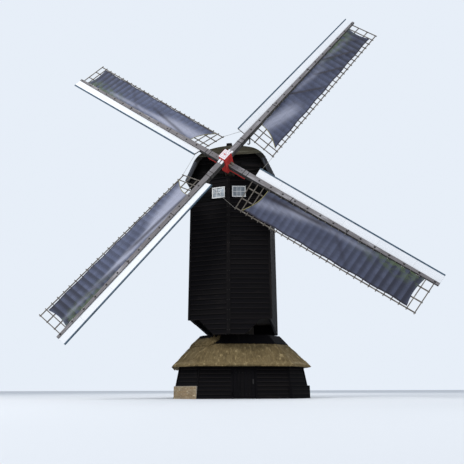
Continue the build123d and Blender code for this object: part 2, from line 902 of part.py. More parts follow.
parts = {
    "brick_piers": brick_piers(),
    "lower_cross_tree": cross_tree_beam(-45, pier_height),
    "upper_cross_tree": cross_tree_beam(45, pier_height + cross_tree),
    "quarter_bars": quarter_bars(),
    "main_post": main_post(),
    "post_saddle": post_saddle(),
    "base_front_wall_left": base_front_wall(-1),
    "base_front_wall_right": base_front_wall(1),
    "base_right_wall": base_wall(2),
    "base_back_wall": base_wall(4),
    "base_left_wall": base_wall(6),
    "base_corner_walls": base_corner_walls(),
    "base_door_frame": base_door_frame(),
    "thatch_roof": thatch_roof(),
    "roof_collar": roof_collar(),
    "base_door": base_door(),
    "crown_tree": crown_tree(),
    "floor_beams": floor_beams(),
    "lower_floor": floor_slab(floor_top_z, post_radius + beam_clear),
    "upper_floor": floor_slab(upper_floor_z, 0),
    "left_wall": side_wall(-1),
    "right_wall": side_wall(1),
    "rear_wall": rear_wall(),
    "rear_door": rear_door(),
    "front_wall_left": front_wall(-1),
    "front_wall_right": front_wall(1),
    "window_frames": window_frames(),
    "window_glass": window_glass(),
    "front_cover_boards": front_cover_boards(),
    "front_shelf": front_shelf(),
    "weather_beam": weather_beam(),
    "neck_bearing": neck_bearing(),
    "tail_beam": tail_beam(),
    "roof": roof(),
    "front_gable": front_gable(),
    "rear_gable": rear_gable(),
    "front_fascia": front_fascia(),
    "tail_pole": tail_pole(),
    "windshaft": windshaft(),
    "poll_end": poll_end(),
    "outer_stock": outer_stock(),
    "inner_stock": inner_stock(),
    "stock_braces": stock_braces(),
    "leading_boards": leading_boards(),
    "sail_ropes": sail_ropes(),
}
for number, (angle, back) in enumerate(arms(), start=1):
    parts[f"sail_lattice_{number}"] = sail_lattice(angle, back)
    parts[f"sail_cloth_{number}"] = sail_cloth(angle, back)

os.makedirs("parts", exist_ok=True)
for name, shape in parts.items():
    export_step(shape, f"parts/{name}.step")
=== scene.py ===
import bpy
import math
import random
from mathutils import Matrix, Vector


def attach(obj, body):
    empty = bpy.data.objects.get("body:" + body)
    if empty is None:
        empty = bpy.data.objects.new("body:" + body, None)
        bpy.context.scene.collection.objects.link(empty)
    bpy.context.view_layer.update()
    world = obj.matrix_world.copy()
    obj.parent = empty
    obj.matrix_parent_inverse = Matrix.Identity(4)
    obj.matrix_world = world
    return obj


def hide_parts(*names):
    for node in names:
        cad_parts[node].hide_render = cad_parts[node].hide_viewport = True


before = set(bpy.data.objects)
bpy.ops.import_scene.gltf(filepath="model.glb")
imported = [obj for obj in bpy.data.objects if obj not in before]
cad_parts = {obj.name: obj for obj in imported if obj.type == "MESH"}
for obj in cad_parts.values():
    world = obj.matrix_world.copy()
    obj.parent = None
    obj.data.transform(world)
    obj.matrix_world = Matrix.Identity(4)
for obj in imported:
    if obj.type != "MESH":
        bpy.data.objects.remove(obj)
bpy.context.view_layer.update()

bpy.ops.object.select_all(action="DESELECT")
chance = random.Random(17)


# The mill's sizes, in metres, as the solids have them

BASE_TURN = Matrix.Rotation(math.radians(13), 4, "Z")
FOOT_HALF, FOOT_SIDE, WALL_LEAN, WALL_TOP = 3.33, 2.25, 0.30, 1.52
EAVE_HALF, EAVE_SIDE, ROOF_HEAD, ROOF_HEAD_SIDE, ROOF_HEAD_Z = 3.40, 2.30, 1.95, 1.32, 3.05
THATCH_RUN, COLLAR_FOOT_Z, COLLAR_THICK, PIER_HEIGHT = 0.42, 2.62, 0.06, 0.58
DOOR_HALF, DOOR_HEIGHT, JAMB = 0.525, 1.40, 0.09
CORNER_SLOPE = math.tan(math.radians(22.5))
LEAN = math.atan2(WALL_LEAN, WALL_TOP)

BODY_HALF, SCREEN_HALF, BODY_FRONT, BODY_REAR, FRONT_POINT = 2.0, 2.115, -2.9, 2.1, 0.37
FRONT_BOTTOM, REAR_BOTTOM, BODY_TOP, APRON_BOTTOM = 3.74, 3.41, 11.19, 3.0
APRON_HALF, APRON_SHOULDER = 0.80, 1.55
WINDOW_X, WINDOW_Z, WINDOW_WIDTH, WINDOW_HEIGHT, WINDOW_FRAME = 0.545, 10.42, 0.72, 0.62, 0.055
SCREEN_STRETCH = math.hypot(SCREEN_HALF, FRONT_POINT) / SCREEN_HALF
REAR_DOOR_HALF, FLOOR_TOP, UPPER_FLOOR, REAR_DOOR_HEIGHT = 0.45, 4.05, 8.60, 1.85
ROOF_FRONT, ROOF_REAR, ROOF_THICK, FRONT_GABLE, GABLE_HALF, WALL_HEAD = -2.92, 2.40, 0.094, -2.70, 2.36, 11.32
FLOOR_HALF = 1.905

SHAFT_TILT = math.radians(12.9)
HUB = Vector((0, -4.09, 11.93))
ARMS = ((52.5, 0.0), (142.5, 0.45), (232.5, 0.0), (322.5, 0.45))
STOCK_REACH, STOCK_STEP, STOCK_WIDTH, STOCK_NECK, STOCK_TIP = 12.0, 1.30, 0.30, 0.286, 0.14
STOCK_DEPTH, STOCK_TIP_DEPTH = 0.29, 0.11
FIRST_BAR, LAST_BAR, BAR_COUNT, BAR_REACH, BAR_THICK, LATH_SHARES = 1.80, 11.80, 28, 1.72, 0.034, (0.29, 0.63, 0.95)
PITCH = (LAST_BAR - FIRST_BAR) / (BAR_COUNT - 1)
BARS = [FIRST_BAR + i * PITCH for i in range(BAR_COUNT)]
WEATHER_ROOT, WEATHER_TIP = math.radians(20.5), math.radians(5.0)
BOARD_WIDTH, RAIL_WIDTH, RAIL_THICK = 0.42, 0.07, 0.06

# What only the scene has: boards, bricks and planks, and the cloths with their folds

BOARD_ROW, BASE_ROW, LAPPED_THICK, BOARD_LAP = 0.25, 0.19, 0.026, 0.028
LONGEST_BOARD, BUTT_GAP, BASE_BOARD_HEAD, STRIP_PROUD = 2.4, 0.003, 1.54, 0.018
DOOR_PLANKS, ROOF_ROWS, PLANK_WIDTH = 6, 17, 0.2
BRICK_LENGTH, HALF_BRICK, BRICK_COURSE, BRICK_JOINT = 0.205, 0.10, 0.0625, 0.011
GRAIN_STEP = 10.0
CLOTH_START, CLOTH_HORN, CLOTH_EDGES, CLOTH_SAG = 2.90, 0.62, (0.865, 0.905, 0.885, 0.915), 0.016
CLOTH_GRID, CLOTH_TONES = (180, 32), (0.55, 0.0, 0.05, 0.75)
# For each cloth: where its scallops start, then each fold's two ends, height and width
FOLDS = {
    1: [5.19, ((5.19, -0.07), (7.06, -1.48), 0.060, 0.085), ((7.35, -0.50), (8.9, -1.58), 0.048, 0.08),
        ((8.39, -0.18), (10.19, -1.39), 0.050, 0.08), ((10.1, -0.3), (11.2, -1.2), 0.022, 0.07)],
    2: [4.6, ((3.4, -0.35), (6.4, -0.95), 0.030, 0.10), ((7.0, -0.2), (8.7, -1.5), 0.016, 0.11)],
    3: [5.4, ((2.6, -0.30), (7.2, -0.62), 0.034, 0.10), ((7.4, -0.35), (10.2, -0.60), 0.020, 0.09)],
    4: [4.9, ((2.7, -0.55), (6.6, -0.38), 0.040, 0.12), ((6.8, -0.3), (8.2, -1.5), 0.018, 0.10)],
}
# For each cloth: the ends, strength and width of its painted highlights, the lighter streaks along the stock
PAINTED_HIGHLIGHTS = {
    1: [((3.0, -0.35), (4.4, -0.75), 0.95, 0.40), ((6.2, -0.25), (7.4, -0.45), 0.5, 0.20),
        ((8.6, -0.25), (10.2, -0.4), 0.45, 0.18)],
    2: [((2.8, -0.65), (4.6, -0.55), 1.1, 0.45), ((4.6, -0.45), (9.0, -0.30), 0.75, 0.18)],
    3: [((2.7, -0.70), (4.6, -0.50), 1.3, 0.50), ((4.4, -0.42), (7.2, -0.42), 0.9, 0.20),
        ((7.2, -0.42), (10.6, -0.46), 0.65, 0.13)],
    4: [((2.8, -0.85), (4.9, -0.48), 0.62, 0.28), ((5.0, -0.36), (8.4, -0.28), 0.55, 0.16)],
}
UNTURNED = (0, 0, 0)
WHITE_TONES = (0.60, 0.60, 0.58), (0.74, 0.74, 0.72), (0.50, 0.49, 0.46)
HEMP_TONES = (0.17, 0.16, 0.14), (0.32, 0.30, 0.26)


# Camera and lamps

def set_camera():
    yaw, pitch, roll = math.radians(-8.54), math.radians(17.09), math.radians(-0.18)
    ahead = Vector((math.sin(yaw) * math.cos(pitch), math.cos(yaw) * math.cos(pitch), math.sin(pitch)))
    level = Vector((math.cos(yaw), -math.sin(yaw), 0))
    above = level.cross(ahead)
    right = level * math.cos(roll) + above * math.sin(roll)
    up = above * math.cos(roll) - level * math.sin(roll)
    turn = Matrix((right, up, -ahead)).transposed().to_4x4()
    data = bpy.data.cameras.new("camera")
    data.sensor_fit = "HORIZONTAL"
    data.sensor_width = 36
    data.lens = 511.96 * 36 / 464
    data.clip_end = 400
    camera = bpy.data.objects.new("camera", data)
    bpy.context.collection.objects.link(camera)
    camera.matrix_world = Matrix.Translation((3.924, -28.167, 0.425)) @ turn
    bpy.context.scene.camera = camera


def set_lamp(name, energy, size, place, aim=(0, 0, 7)):
    data = bpy.data.lights.new(name, "AREA")
    data.energy = energy
    data.size = size
    lamp = bpy.data.objects.new(name, data)
    bpy.context.collection.objects.link(lamp)
    ahead = (Vector(aim) - Vector(place)).normalized()
    lamp.matrix_world = Matrix.Translation(place) @ ahead.to_track_quat("-Z", "Y").to_matrix().to_4x4()


def set_sky():
    """Soft light from everywhere, with a paler sky wherever it is seen, mirrored or seen through glass."""
    world = bpy.data.worlds.new("studio")
    bpy.context.scene.world = world
    world.use_nodes = True
    nodes, links = world.node_tree.nodes, world.node_tree.links
    nodes.clear()
    out, mixer = nodes.new("ShaderNodeOutputWorld"), nodes.new("ShaderNodeMixShader")
    for socket, colour, strength in ((1, (0.80, 0.88, 1.0, 1), 0.75), (2, (0.80, 0.86, 0.94, 1), 1.0)):
        light = nodes.new("ShaderNodeBackground")
        light.inputs["Color"].default_value = colour
        light.inputs["Strength"].default_value = strength
        links.new(light.outputs[0], mixer.inputs[socket])
    path = nodes.new("ShaderNodeLightPath")
    seen = path.outputs["Is Camera Ray"]
    for ray in ("Is Glossy Ray", "Is Transmission Ray"):
        either = nodes.new("ShaderNodeMath")
        either.operation = "MAXIMUM"
        links.new(seen, either.inputs[0])
        links.new(path.outputs[ray], either.inputs[1])
        seen = either.outputs[0]
    links.new(seen, mixer.inputs["Fac"])
    links.new(mixer.outputs[0], out.inputs["Surface"])


# Hand tools: how every piece is picked up, shaped, copied and put in its place

def only(*pieces):
    bpy.ops.object.select_all(action="DESELECT")
    for piece in pieces:
        piece.select_set(True)
    bpy.context.view_layer.objects.active = pieces[0]


def mode(name):
    bpy.ops.object.mode_set(mode=name)


def select_mesh(action="SELECT"):
    bpy.ops.mesh.select_all(action=action)


def modify(piece, kind, **settings):
    """Adds a modifier to the piece in hand, sets it and applies it."""
    bpy.ops.object.modifier_add(type=kind)
    for key, value in settings.items():
        setattr(piece.modifiers[-1], key, value)
    bpy.ops.object.modifier_apply(modifier=piece.modifiers[-1].name)


def block(low, high, ease=0.0):
    """A squared timber between two corners, its arrises eased."""
    centre = [(a + b) / 2 for a, b in zip(low, high)]
    bpy.ops.mesh.primitive_cube_add(size=1, location=centre)
    mode("EDIT")
    bpy.ops.transform.resize(value=[b - a for a, b in zip(low, high)], center_override=centre)
    if ease:
        bpy.ops.mesh.bevel(offset=ease, segments=1)
    mode("OBJECT")
    bpy.ops.object.transform_apply()
    return bpy.context.object


def rod(start, end, radius, sides=12, ease=0.0):
    """A round bar between two points, its end arrises eased."""
    start, end = Vector(start), Vector(end)
    along = end - start
    bpy.ops.mesh.primitive_cylinder_add(vertices=sides, radius=radius, depth=along.length)
    piece = bpy.context.object
    if ease:
        modify(piece, "BEVEL", width=ease, segments=2, limit_method="ANGLE", angle_limit=math.radians(60))
    bpy.ops.object.shade_smooth_by_angle(angle=math.radians(40))
    return at(piece, Matrix.Translation((start + end) / 2) @ along.to_track_quat("Z", "Y").to_matrix().to_4x4())


def pick(piece, test):
    """Leaves a piece in edit mode with the corners selected for which test is true."""
    only(piece)
    mode("EDIT")
    bpy.ops.mesh.select_mode(type="VERT")
    select_mesh("DESELECT")
    mode("OBJECT")
    for vertex in piece.data.vertices:
        vertex.select = test(vertex.co)
    mode("EDIT")


def slide(piece, test, move):
    pick(piece, test)
    bpy.ops.transform.translate(value=move)
    mode("OBJECT")


def saw(piece, point, out):
    """Saws off what lies beyond a plane and closes the cut."""
    only(piece)
    mode("EDIT")
    select_mesh()
    bpy.ops.mesh.bisect(plane_co=point, plane_no=out, use_fill=True, clear_outer=True)
    mode("OBJECT")


def saw_ends(piece, half, rise, run):
    """Saws both ends of a wall's boards to the slopes of its corners."""
    for sign in (1, -1):
        saw(piece, (sign * half, 0, 0), (sign * rise, run, 0))


def carve(piece, cutter):
    """Cuts a hole in each board of a piece that the cutter reaches, and uses up the cutter."""
    only(piece)
    bpy.ops.mesh.separate(type="LOOSE")
    boards = [piece] + [other for other in bpy.context.selected_objects if other != piece]
    hole = extent(cutter)
    for board in boards:
        if all(max(a) > min(b) and min(a) < max(b) for a, b in zip(extent(board), hole)):
            only(board)
            modify(board, "BOOLEAN", object=cutter, solver="EXACT", use_self=True)
    bpy.data.objects.remove(cutter)
    joined(boards)


def extent(piece):
    """The values that a piece's points have along each axis."""
    return list(zip(*(piece.matrix_world @ vertex.co for vertex in piece.data.vertices)))


def mark_grain(piece, tone=None):
    """Writes each point's place in the timber's own length, and one tone for the whole timber."""
    shift = Vector((chance.uniform(0, 40), GRAIN_STEP * chance.randrange(8), chance.uniform(0, 4)))
    tone = chance.random() if tone is None else tone
    write_marks(piece.data, [vertex.co + shift for vertex in piece.data.vertices], tone)


def write_marks(mesh, points, tone):
    mesh.attributes.new("grain", "FLOAT_VECTOR", "POINT")
    mesh.attributes.new("tone", "FLOAT", "POINT")
    mesh.attributes["grain"].data.foreach_set("vector", [c for point in points for c in point])
    mesh.attributes["tone"].data.foreach_set("value", [tone] * len(points))


def joined(pieces):
    only(*pieces)
    if len(pieces) > 1:
        bpy.ops.object.join()
    bpy.ops.object.transform_apply()
    return bpy.context.object


def at(piece, here):
    """Puts a piece in its place for good."""
    piece.matrix_world = here
    return joined([piece])


def marked(piece, here):
    """Marks a piece's grain as it lies, then puts it in its place."""
    mark_grain(piece)
    piece.matrix_world = here
    return piece


def spread(piece, places, tone=None):
    """Copies a piece to several places, each lengthened along its own x, and joins them."""
    copies = []
    for place in places:
        place, length = place if isinstance(place, tuple) else (place, None)
        copy = piece.copy()
        copy.data = piece.data.copy()
        bpy.context.collection.objects.link(copy)
        if length is not None:
            end = max(v.co.x for v in copy.data.vertices)
            for vertex in copy.data.vertices:
                if vertex.co.x > end / 2:
                    vertex.co.x += length - end
        mark_grain(copy, tone)
        copy.matrix_world = place
        copies.append(copy)
    bpy.data.objects.remove(piece)
    return joined(copies)


def faced_out(piece):
    only(piece)
    mode("EDIT")
    select_mesh()
    bpy.ops.mesh.normals_make_consistent(inside=False)
    mode("OBJECT")
    return piece


def finished(piece, name, material, body, slot, *replaced):
    piece.name = name
    piece.data.materials.clear()
    piece.data.materials.append(material)
    if "grain" not in piece.data.attributes:
        mark_grain(piece)
    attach(piece, body)
    if replaced:
        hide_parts(*replaced)
    return piece


def wall_frame(origin, out, lean=0.0):
    """A frame on a wall: x to the right as seen from outside, y up the wall, z out of it."""
    out = Vector(out).normalized()
    side = Vector((0, 0, 1)).cross(out)
    up = Vector((0, 0, 1)) * math.cos(lean) - out * math.sin(lean)
    out = side.cross(up)
    return Matrix.Translation(origin) @ Matrix((side, up, out)).transposed().to_4x4()


def screen_frame(sign):
    """The frame on the left or right front screen, from the front edge of the body."""
    return wall_frame((0, BODY_FRONT - FRONT_POINT, 0), (sign * FRONT_POINT, -SCREEN_HALF, 0))


def arm_frame(number):
    """A frame on an arm of the sails: x out along it, y to its leading side, z forward."""
    angle, back = ARMS[number - 1]
    forward = Vector((0, -math.cos(SHAFT_TILT), math.sin(SHAFT_TILT)))
    side = Vector((1, 0, 0))
    turn = Matrix((side, forward.cross(side), forward)).transposed().to_4x4()
    return Matrix.Translation(HUB - forward * back) @ turn @ Matrix.Rotation(math.radians(angle), 4, "Z")


REAR_WALL = wall_frame((0, BODY_REAR, 0), (0, 1, 0))
ARM_FRAMES = {number: arm_frame(number) for number in (1, 2, 3, 4)}


# Finishes

class Finish:
    """A procedural finish, wired node by node."""

    def __init__(self, name, roughness=0.7, metallic=0.0):
        self.material = bpy.data.materials.new(name)
        self.material.use_nodes = True
        self.tree = self.material.node_tree
        self.shader = self.tree.nodes["Principled BSDF"]
        self.shader.inputs["Roughness"].default_value = roughness
        self.shader.inputs["Metallic"].default_value = metallic
        self.shader.inputs["Specular IOR Level"].default_value = 0.3

    def node(self, kind, **values):
        node = self.tree.nodes.new("ShaderNode" + kind)
        for key, value in values.items():
            setattr(node, key, value)
        return node

    def link(self, source, target):
        self.tree.links.new(source, target)

    def place(self, scale=(1, 1, 1), turn=(0, 0, 0), attribute=None):
        if attribute:
            source = self.node("Attribute", attribute_name=attribute).outputs["Vector"]
        else:
            source = self.node("TexCoord").outputs["Object"]
        for kind, value in (("Rotation", turn), ("Scale", scale)):
            mapping = self.node("Mapping")
            mapping.inputs[kind].default_value = value
            self.link(source, mapping.inputs["Vector"])
            source = mapping.outputs["Vector"]
        return source

    def value(self, attribute):
        return self.node("Attribute", attribute_name=attribute).outputs["Fac"]

    def part(self, vector, axis):
        split = self.node("SeparateXYZ")
        self.link(vector, split.inputs[0])
        return split.outputs[axis]

    def noise(self, place, scale=1.0, detail=4.0, rough=0.6):
        noise = self.node("TexNoise")
        noise.inputs["Scale"].default_value = scale
        noise.inputs["Detail"].default_value = detail
        noise.inputs["Roughness"].default_value = rough
        self.link(place, noise.inputs["Vector"])
        return noise.outputs["Fac"]

    def sum(self, operation, a, b=0.0):
        """One operation on two values, each a socket or a number."""
        node = self.node("Math", operation=operation)
        for socket, value in zip(node.inputs, (a, b)):
            if isinstance(value, bpy.types.NodeSocket):
                self.link(value, socket)
            else:
                socket.default_value = value
        return node.outputs[0]

    def times(self, a, b):
        return self.sum("MULTIPLY", a, b)

    def plus(self, a, b):
        return self.sum("ADD", a, b)

    def minus(self, a, b):
        return self.sum("SUBTRACT", a, b)

    def span(self, value, low, high):
        """0 below low, 1 above high, smooth between them."""
        spread = self.node("MapRange", interpolation_type="SMOOTHSTEP")
        spread.inputs["From Min"].default_value = low
        spread.inputs["From Max"].default_value = high
        self.link(value, spread.inputs["Value"])
        return spread.outputs["Result"]

    def ramp(self, fac, *stops):
        ramp = self.node("ValToRGB")
        elements = ramp.color_ramp.elements
        while len(elements) < len(stops):
            elements.new(0.5)
        for element, (position, colour) in zip(elements, stops):
            element.position = position
            element.color = (*colour, 1)
        self.link(fac, ramp.inputs["Fac"])
        return ramp.outputs["Color"]

    def mix(self, a, b, fac, mode="MIX"):
        mixer = self.node("Mix", data_type="RGBA", blend_type=mode)
        for socket, value in ((mixer.inputs[6], a), (mixer.inputs[7], b), (mixer.inputs[0], fac)):
            if isinstance(value, bpy.types.NodeSocket):
                self.link(value, socket)
            elif isinstance(value, tuple):
                socket.default_value = (*value, 1)
            else:
                socket.default_value = value
        return mixer.outputs[2]

    def colour(self, socket):
        self.link(socket, self.shader.inputs["Base Color"])
        return self.material

    def rough(self, fac, low, high):
        spread = self.node("MapRange")
        spread.inputs["To Min"].default_value = low
        spread.inputs["To Max"].default_value = high
        self.link(fac, spread.inputs["Value"])
        self.link(spread.outputs["Result"], self.shader.inputs["Roughness"])

    def bump(self, height, distance, strength=1.0):
        bump = self.node("Bump")
        bump.inputs["Distance"].default_value = distance
        bump.inputs["Strength"].default_value = strength
        self.link(height, bump.inputs["Height"])
        before = self.shader.inputs["Normal"].links
        if before:
            self.link(before[0].from_socket, bump.inputs["Normal"])
        self.link(bump.outputs["Normal"], self.shader.inputs["Normal"])


def weathered_timber(name, dark, light, worn, worn_share=0.5, roughness=0.8, turn=None, along=0,
                     depth=0.003, tones=0.5, shine=0.3, lap=0.0):
    """Wood with its grain along a piece's length, one tone for each timber, and worn patches.

    A solid has no marks of its own, so with turn the finish reads object coordinates turned so.
    lap is the height of a lapped board that shows: it is darkened with painted shadow just under the next
    board and made lighter along its own lower edge."""
    finish = Finish(name, roughness)
    finish.shader.inputs["Specular IOR Level"].default_value = shine
    attribute = None if turn is not None else "grain"

    def grained(across, lengthways, detail, rough):
        scale = [across] * 3
        scale[along] = lengthways
        return finish.noise(finish.place(tuple(scale), turn or (0, 0, 0), attribute), 1.0, detail, rough)

    fine, broad = grained(46.0, 2.2, 5, 0.62), grained(5.0, 0.7, 4, 0.55)
    wear = finish.plus(broad, finish.times(fine, 0.25))
    base = finish.mix(finish.ramp(fine, (0.28, dark), (0.74, light)), worn,
                      finish.span(wear, 0.85 - worn_share * 0.5, 1.0 - worn_share * 0.3))
    if attribute:
        tone = finish.value("tone")
        base = finish.mix(base, tuple(c * 0.35 for c in dark), finish.times(tone, tones))
        base = finish.mix(base, worn, finish.times(finish.span(tone, 0.8, 1.0), tones * 0.7))
    # Painted shadow: the top of each board's showing part, just under the next board's lap, is darkened nearly to
    # black. Its own lower edge is made lighter.
    if lap:
        height = finish.sum("FLOORED_MODULO", finish.part(finish.place(attribute="grain"), "Y"), GRAIN_STEP)
        shade = finish.span(height, lap - 0.055, lap - 0.032)
        base = finish.mix(base, (0.0004, 0.0004, 0.0005), finish.times(shade, 0.95))
        edge = finish.minus(1.0, finish.span(height, 0.024, 0.050))
        base = finish.mix(base, tuple(2 * c for c in worn), finish.times(edge, 0.4))
    finish.bump(fine, depth, 0.7)
    finish.rough(fine, max(0.05, roughness - 0.14), min(1.0, roughness + 0.12))
    return finish.colour(base)


def clothe(material, *nodes):
    for node in nodes:
        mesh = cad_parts[node].data
        mesh.materials.clear()
        mesh.materials.append(material)


# Base: lapped boards, door, brick piers, thatch and collar

def base_edge(index, half, side):
    """Both ends of one of the eight edges of the base's plan."""
    corners = [(-side, -half), (side, -half), (half, -side), (half, side),
               (side, half), (-side, half), (-half, side), (-half, -side)]
    return Vector((*corners[index], 0)), Vector((*corners[(index + 1) % 8], 0))


def base_side(index, half, side):
    """Middle and half length of one of those edges."""
    start, end = base_edge(index, half, side)
    return (start + end) / 2, (end - start).length / 2


def lapped_rows(left, right, foot, head, row):
    """Places of lapped boards in a wall's own frame, butted at odd lengths."""
    places = []
    y = foot
    while y < head - 0.02:
        cuts = [left, right]
        if right - left > LONGEST_BOARD:
            cuts.insert(1, left + (right - left) * chance.uniform(0.25, 0.75))
        for start, end in zip(cuts, cuts[1:]):
            lean = Matrix.Rotation(chance.uniform(-0.0012, 0.0012), 4, "Z")
            spot = (start + BUTT_GAP / 2, y, chance.uniform(0, 0.003))
            places.append((Matrix.Translation(spot) @ lean, end - start - BUTT_GAP))
        y += row
    return places


def lapped_board(row, thick=LAPPED_THICK):
    board = block((0, 0, 0.002), (1, row + BOARD_LAP, 0.002 + thick), 0.002)
    slide(board, lambda v: v.y > row and v.z > thick / 2, (0, 0, -thick * 0.86))
    return board


def lapped_wall(left, right, foot, head, row=BOARD_ROW, thick=LAPPED_THICK):
    return spread(lapped_board(row, thick), lapped_rows(left, right, foot, head, row))


def base_boards():
    """Lapped boards on the base's eight walls and over the front right pier, and strips on their corners."""
    walls = []
    for index in range(8):
        start, end = base_edge(index, FOOT_HALF, FOOT_SIDE)
        middle, half = base_side(index, FOOT_HALF, FOOT_SIDE)
        foot = PIER_HEIGHT / math.cos(LEAN) if index % 2 else 0.0
        jamb = DOOR_HALF + JAMB
        stretches = ((-half, -jamb), (jamb, half)) if index == 0 else ((-half, half),)
        places = [place for stretch in stretches for place in lapped_rows(*stretch, foot, BASE_BOARD_HEAD, BASE_ROW)]
        wall = spread(lapped_board(BASE_ROW), places)
        head = Vector(base_edge(index, FOOT_HALF - WALL_LEAN, FOOT_SIDE - WALL_LEAN * CORNER_SLOPE)[1])
        slant = half - (head - middle).dot((end - start).normalized())
        rise = WALL_TOP / math.cos(LEAN)
        saw_ends(wall, half, rise, slant)
        saw(wall, (0, rise, 0), (0, 1, 0))
        wall.matrix_world = BASE_TURN @ wall_frame(middle, middle.normalized(), LEAN)
        walls.append(wall)
    middle, half = base_side(1, FOOT_HALF, FOOT_SIDE)
    over_pier = lapped_wall(-half, half, 0.0, PIER_HEIGHT - 0.01, BASE_ROW)
    saw(over_pier, (0, PIER_HEIGHT, 0), (0, 1, 0))
    cap = block((-half, PIER_HEIGHT + 0.001, -0.10), (half, PIER_HEIGHT + 0.020, 0.036), 0.003)
    over_pier = joined([over_pier, cap])
    over_pier.matrix_world = BASE_TURN @ wall_frame(middle, middle.normalized())
    finished(joined([*walls, over_pier]), "base_weatherboards", TAR_BASE, "base", "tarred_boards")
    strips = []
    half, side = FOOT_HALF + STRIP_PROUD, FOOT_SIDE + STRIP_PROUD * CORNER_SLOPE
    for index in range(8):
        foot = base_edge(index, half, side)[1]
        head = base_edge(index, half - WALL_LEAN, side - WALL_LEAN * CORNER_SLOPE)[1]
        head.z = WALL_TOP - 0.004
        foot = foot + (head - foot) * ((PIER_HEIGHT + 0.01) / WALL_TOP)
        strip = block((-0.034, -0.012, 0), (0.034, 0.014, (head - foot).length), 0.004)
        across = Vector((0, 0, 1)).cross(Vector((foot.x, foot.y, 0)).normalized())
        up = (head - foot).normalized()
        turn = Matrix((across, across.cross(up), up)).transposed().to_4x4()
        strips.append(marked(strip, BASE_TURN @ Matrix.Translation(foot) @ turn))
    ends = base_edge(1, FOOT_HALF, FOOT_SIDE)
    for corner, inward, out in ((ends[0], Vector((-1, 0, 0)), Vector((0, -1, 0))),
                                (ends[1], Vector((0, 1, 0)), Vector((1, 0, 0)))):
        strip = block((0, -0.026, 0), (0.135, 0, PIER_HEIGHT + 0.006), 0.004)
        turn = Matrix((inward, -out, Vector((0, 0, 1)))).transposed().to_4x4()
        strips.append(marked(strip, BASE_TURN @ Matrix.Translation(corner + out * 0.0005 - inward * 0.02) @ turn))
    finished(faced_out(joined(strips)), "base_corner_strips", TAR_LEAN, "base", "tarred_boards")


def door_dressing():
    """The base door's planks, studs and ring, and the casing round it."""
    here = BASE_TURN @ wall_frame((0, -FOOT_HALF, 0), (0, -1, 0), LEAN)
    rise = 1 / math.cos(LEAN)
    low, high = 0.034 * rise, (DOOR_HEIGHT - 0.012) * rise
    width = 2 * (DOOR_HALF - 0.010) / DOOR_PLANKS
    plank = block((0, 0, 0.0005), (width - 0.006, high - low, 0.022), 0.003)
    places = [Matrix.Translation((-DOOR_HALF + 0.010 + i * width + 0.003, low, chance.uniform(0, 0.002)))
              for i in range(DOOR_PLANKS)]
    finished(at(spread(plank, places), here), "door_planks", TAR_UPRIGHT, "door", "tarred_boards")
    studs = []
    for z in (0.22, DOOR_HEIGHT - 0.22):
        for i in range(5):
            x = -DOOR_HALF + 0.16 + i * 0.15
            studs.append(rod((x, z * rise, 0.018), (x, z * rise, 0.030), 0.011, 8, 0.003))
    latch_x = DOOR_HALF - 0.09
    plate = block((latch_x - 0.03, 0.68, 0.021), (latch_x + 0.03, 0.90, 0.026), 0.002)
    bpy.ops.mesh.primitive_torus_add(major_radius=0.042, minor_radius=0.006, major_segments=28, minor_segments=8,
                                     location=(latch_x, 0.775, 0.034))
    ring = bpy.context.object
    bpy.ops.object.shade_smooth()
    boss = rod((latch_x, 0.817, 0.024), (latch_x, 0.817, 0.044), 0.011, 10, 0.003)
    finished(at(joined([plate, ring, boss, *studs]), here), "door_ironwork", DARK_IRON, "door", "tarred_boards")
    casing = []
    for sign in (-1, 1):
        x = sign * (DOOR_HALF + JAMB / 2 + 0.004)
        casing.append(block((x - JAMB / 2, 0, 0.001), (x + JAMB / 2, DOOR_HEIGHT * rise, 0.030), 0.004))
    casing.append(block((-DOOR_HALF - JAMB, DOOR_HEIGHT * rise + 0.002, 0.001),
                        (DOOR_HALF + JAMB, 1.545, 0.030), 0.004))
    for board in casing:
        mark_grain(board)
    for z in (0.2, 1.2):
        strap_notch = block((-DOOR_HALF - 0.07, z * rise - 0.075, -0.01), (-DOOR_HALF + 0.09, z * rise + 0.10, 0.1))
        carve(casing[0], strap_notch)
    finished(at(joined(casing), here), "door_casing", TAR_UPRIGHT, "base", "tarred_boards")


def pier_bricks():
    """Courses of single bricks round the face of each pier, with their joints raked."""
    brick = block((0, 0, 0), (BRICK_LENGTH, 0.052, 0.018), 0.003)
    places = []
    for index in (3, 5, 7):
        middle, half = base_side(index, FOOT_HALF, FOOT_SIDE)
        here = BASE_TURN @ wall_frame(middle, middle.normalized())
        for number in range(9):
            x = -half + 0.004
            length = HALF_BRICK if number % 2 else BRICK_LENGTH
            while x < half - 0.03:
                length = min(length, half - 0.004 - x)
                tilt = Matrix.Rotation(chance.uniform(-0.01, 0.01), 4, "Z")
                spot = Matrix.Translation((x, 0.008 + number * BRICK_COURSE, chance.uniform(-0.012, -0.005)))
                places.append((here @ spot @ tilt, length))
                x += length + BRICK_JOINT
                length = BRICK_LENGTH
    finished(spread(brick, places), "pier_bricks", BRICK, "base", "brick")


def thatch_half(share, lift=0.0):
    """Half the thatch's width at a share of its height: it swells a little between eave and top."""
    swell = 0.045 * math.sin(math.pi * min(1, share * 1.05)) + lift
    return EAVE_HALF + (ROOF_HEAD - EAVE_HALF) * share + swell


def octagon(half, z):
    """The base's plan at a height: a square with its corners cut, as open edges in edit mode."""
    bpy.ops.mesh.primitive_plane_add(size=2 * half, location=(0, 0, z))
    mode("EDIT")
    bpy.ops.mesh.select_mode(type="VERT")
    bpy.ops.mesh.bevel(offset=half * (1 - EAVE_SIDE / EAVE_HALF), affect="VERTICES")
    select_mesh()
    bpy.ops.mesh.delete(type="ONLY_FACE")
    select_mesh()
    bpy.ops.mesh.subdivide(number_cuts=7)
    select_mesh()
    return bpy.context.object


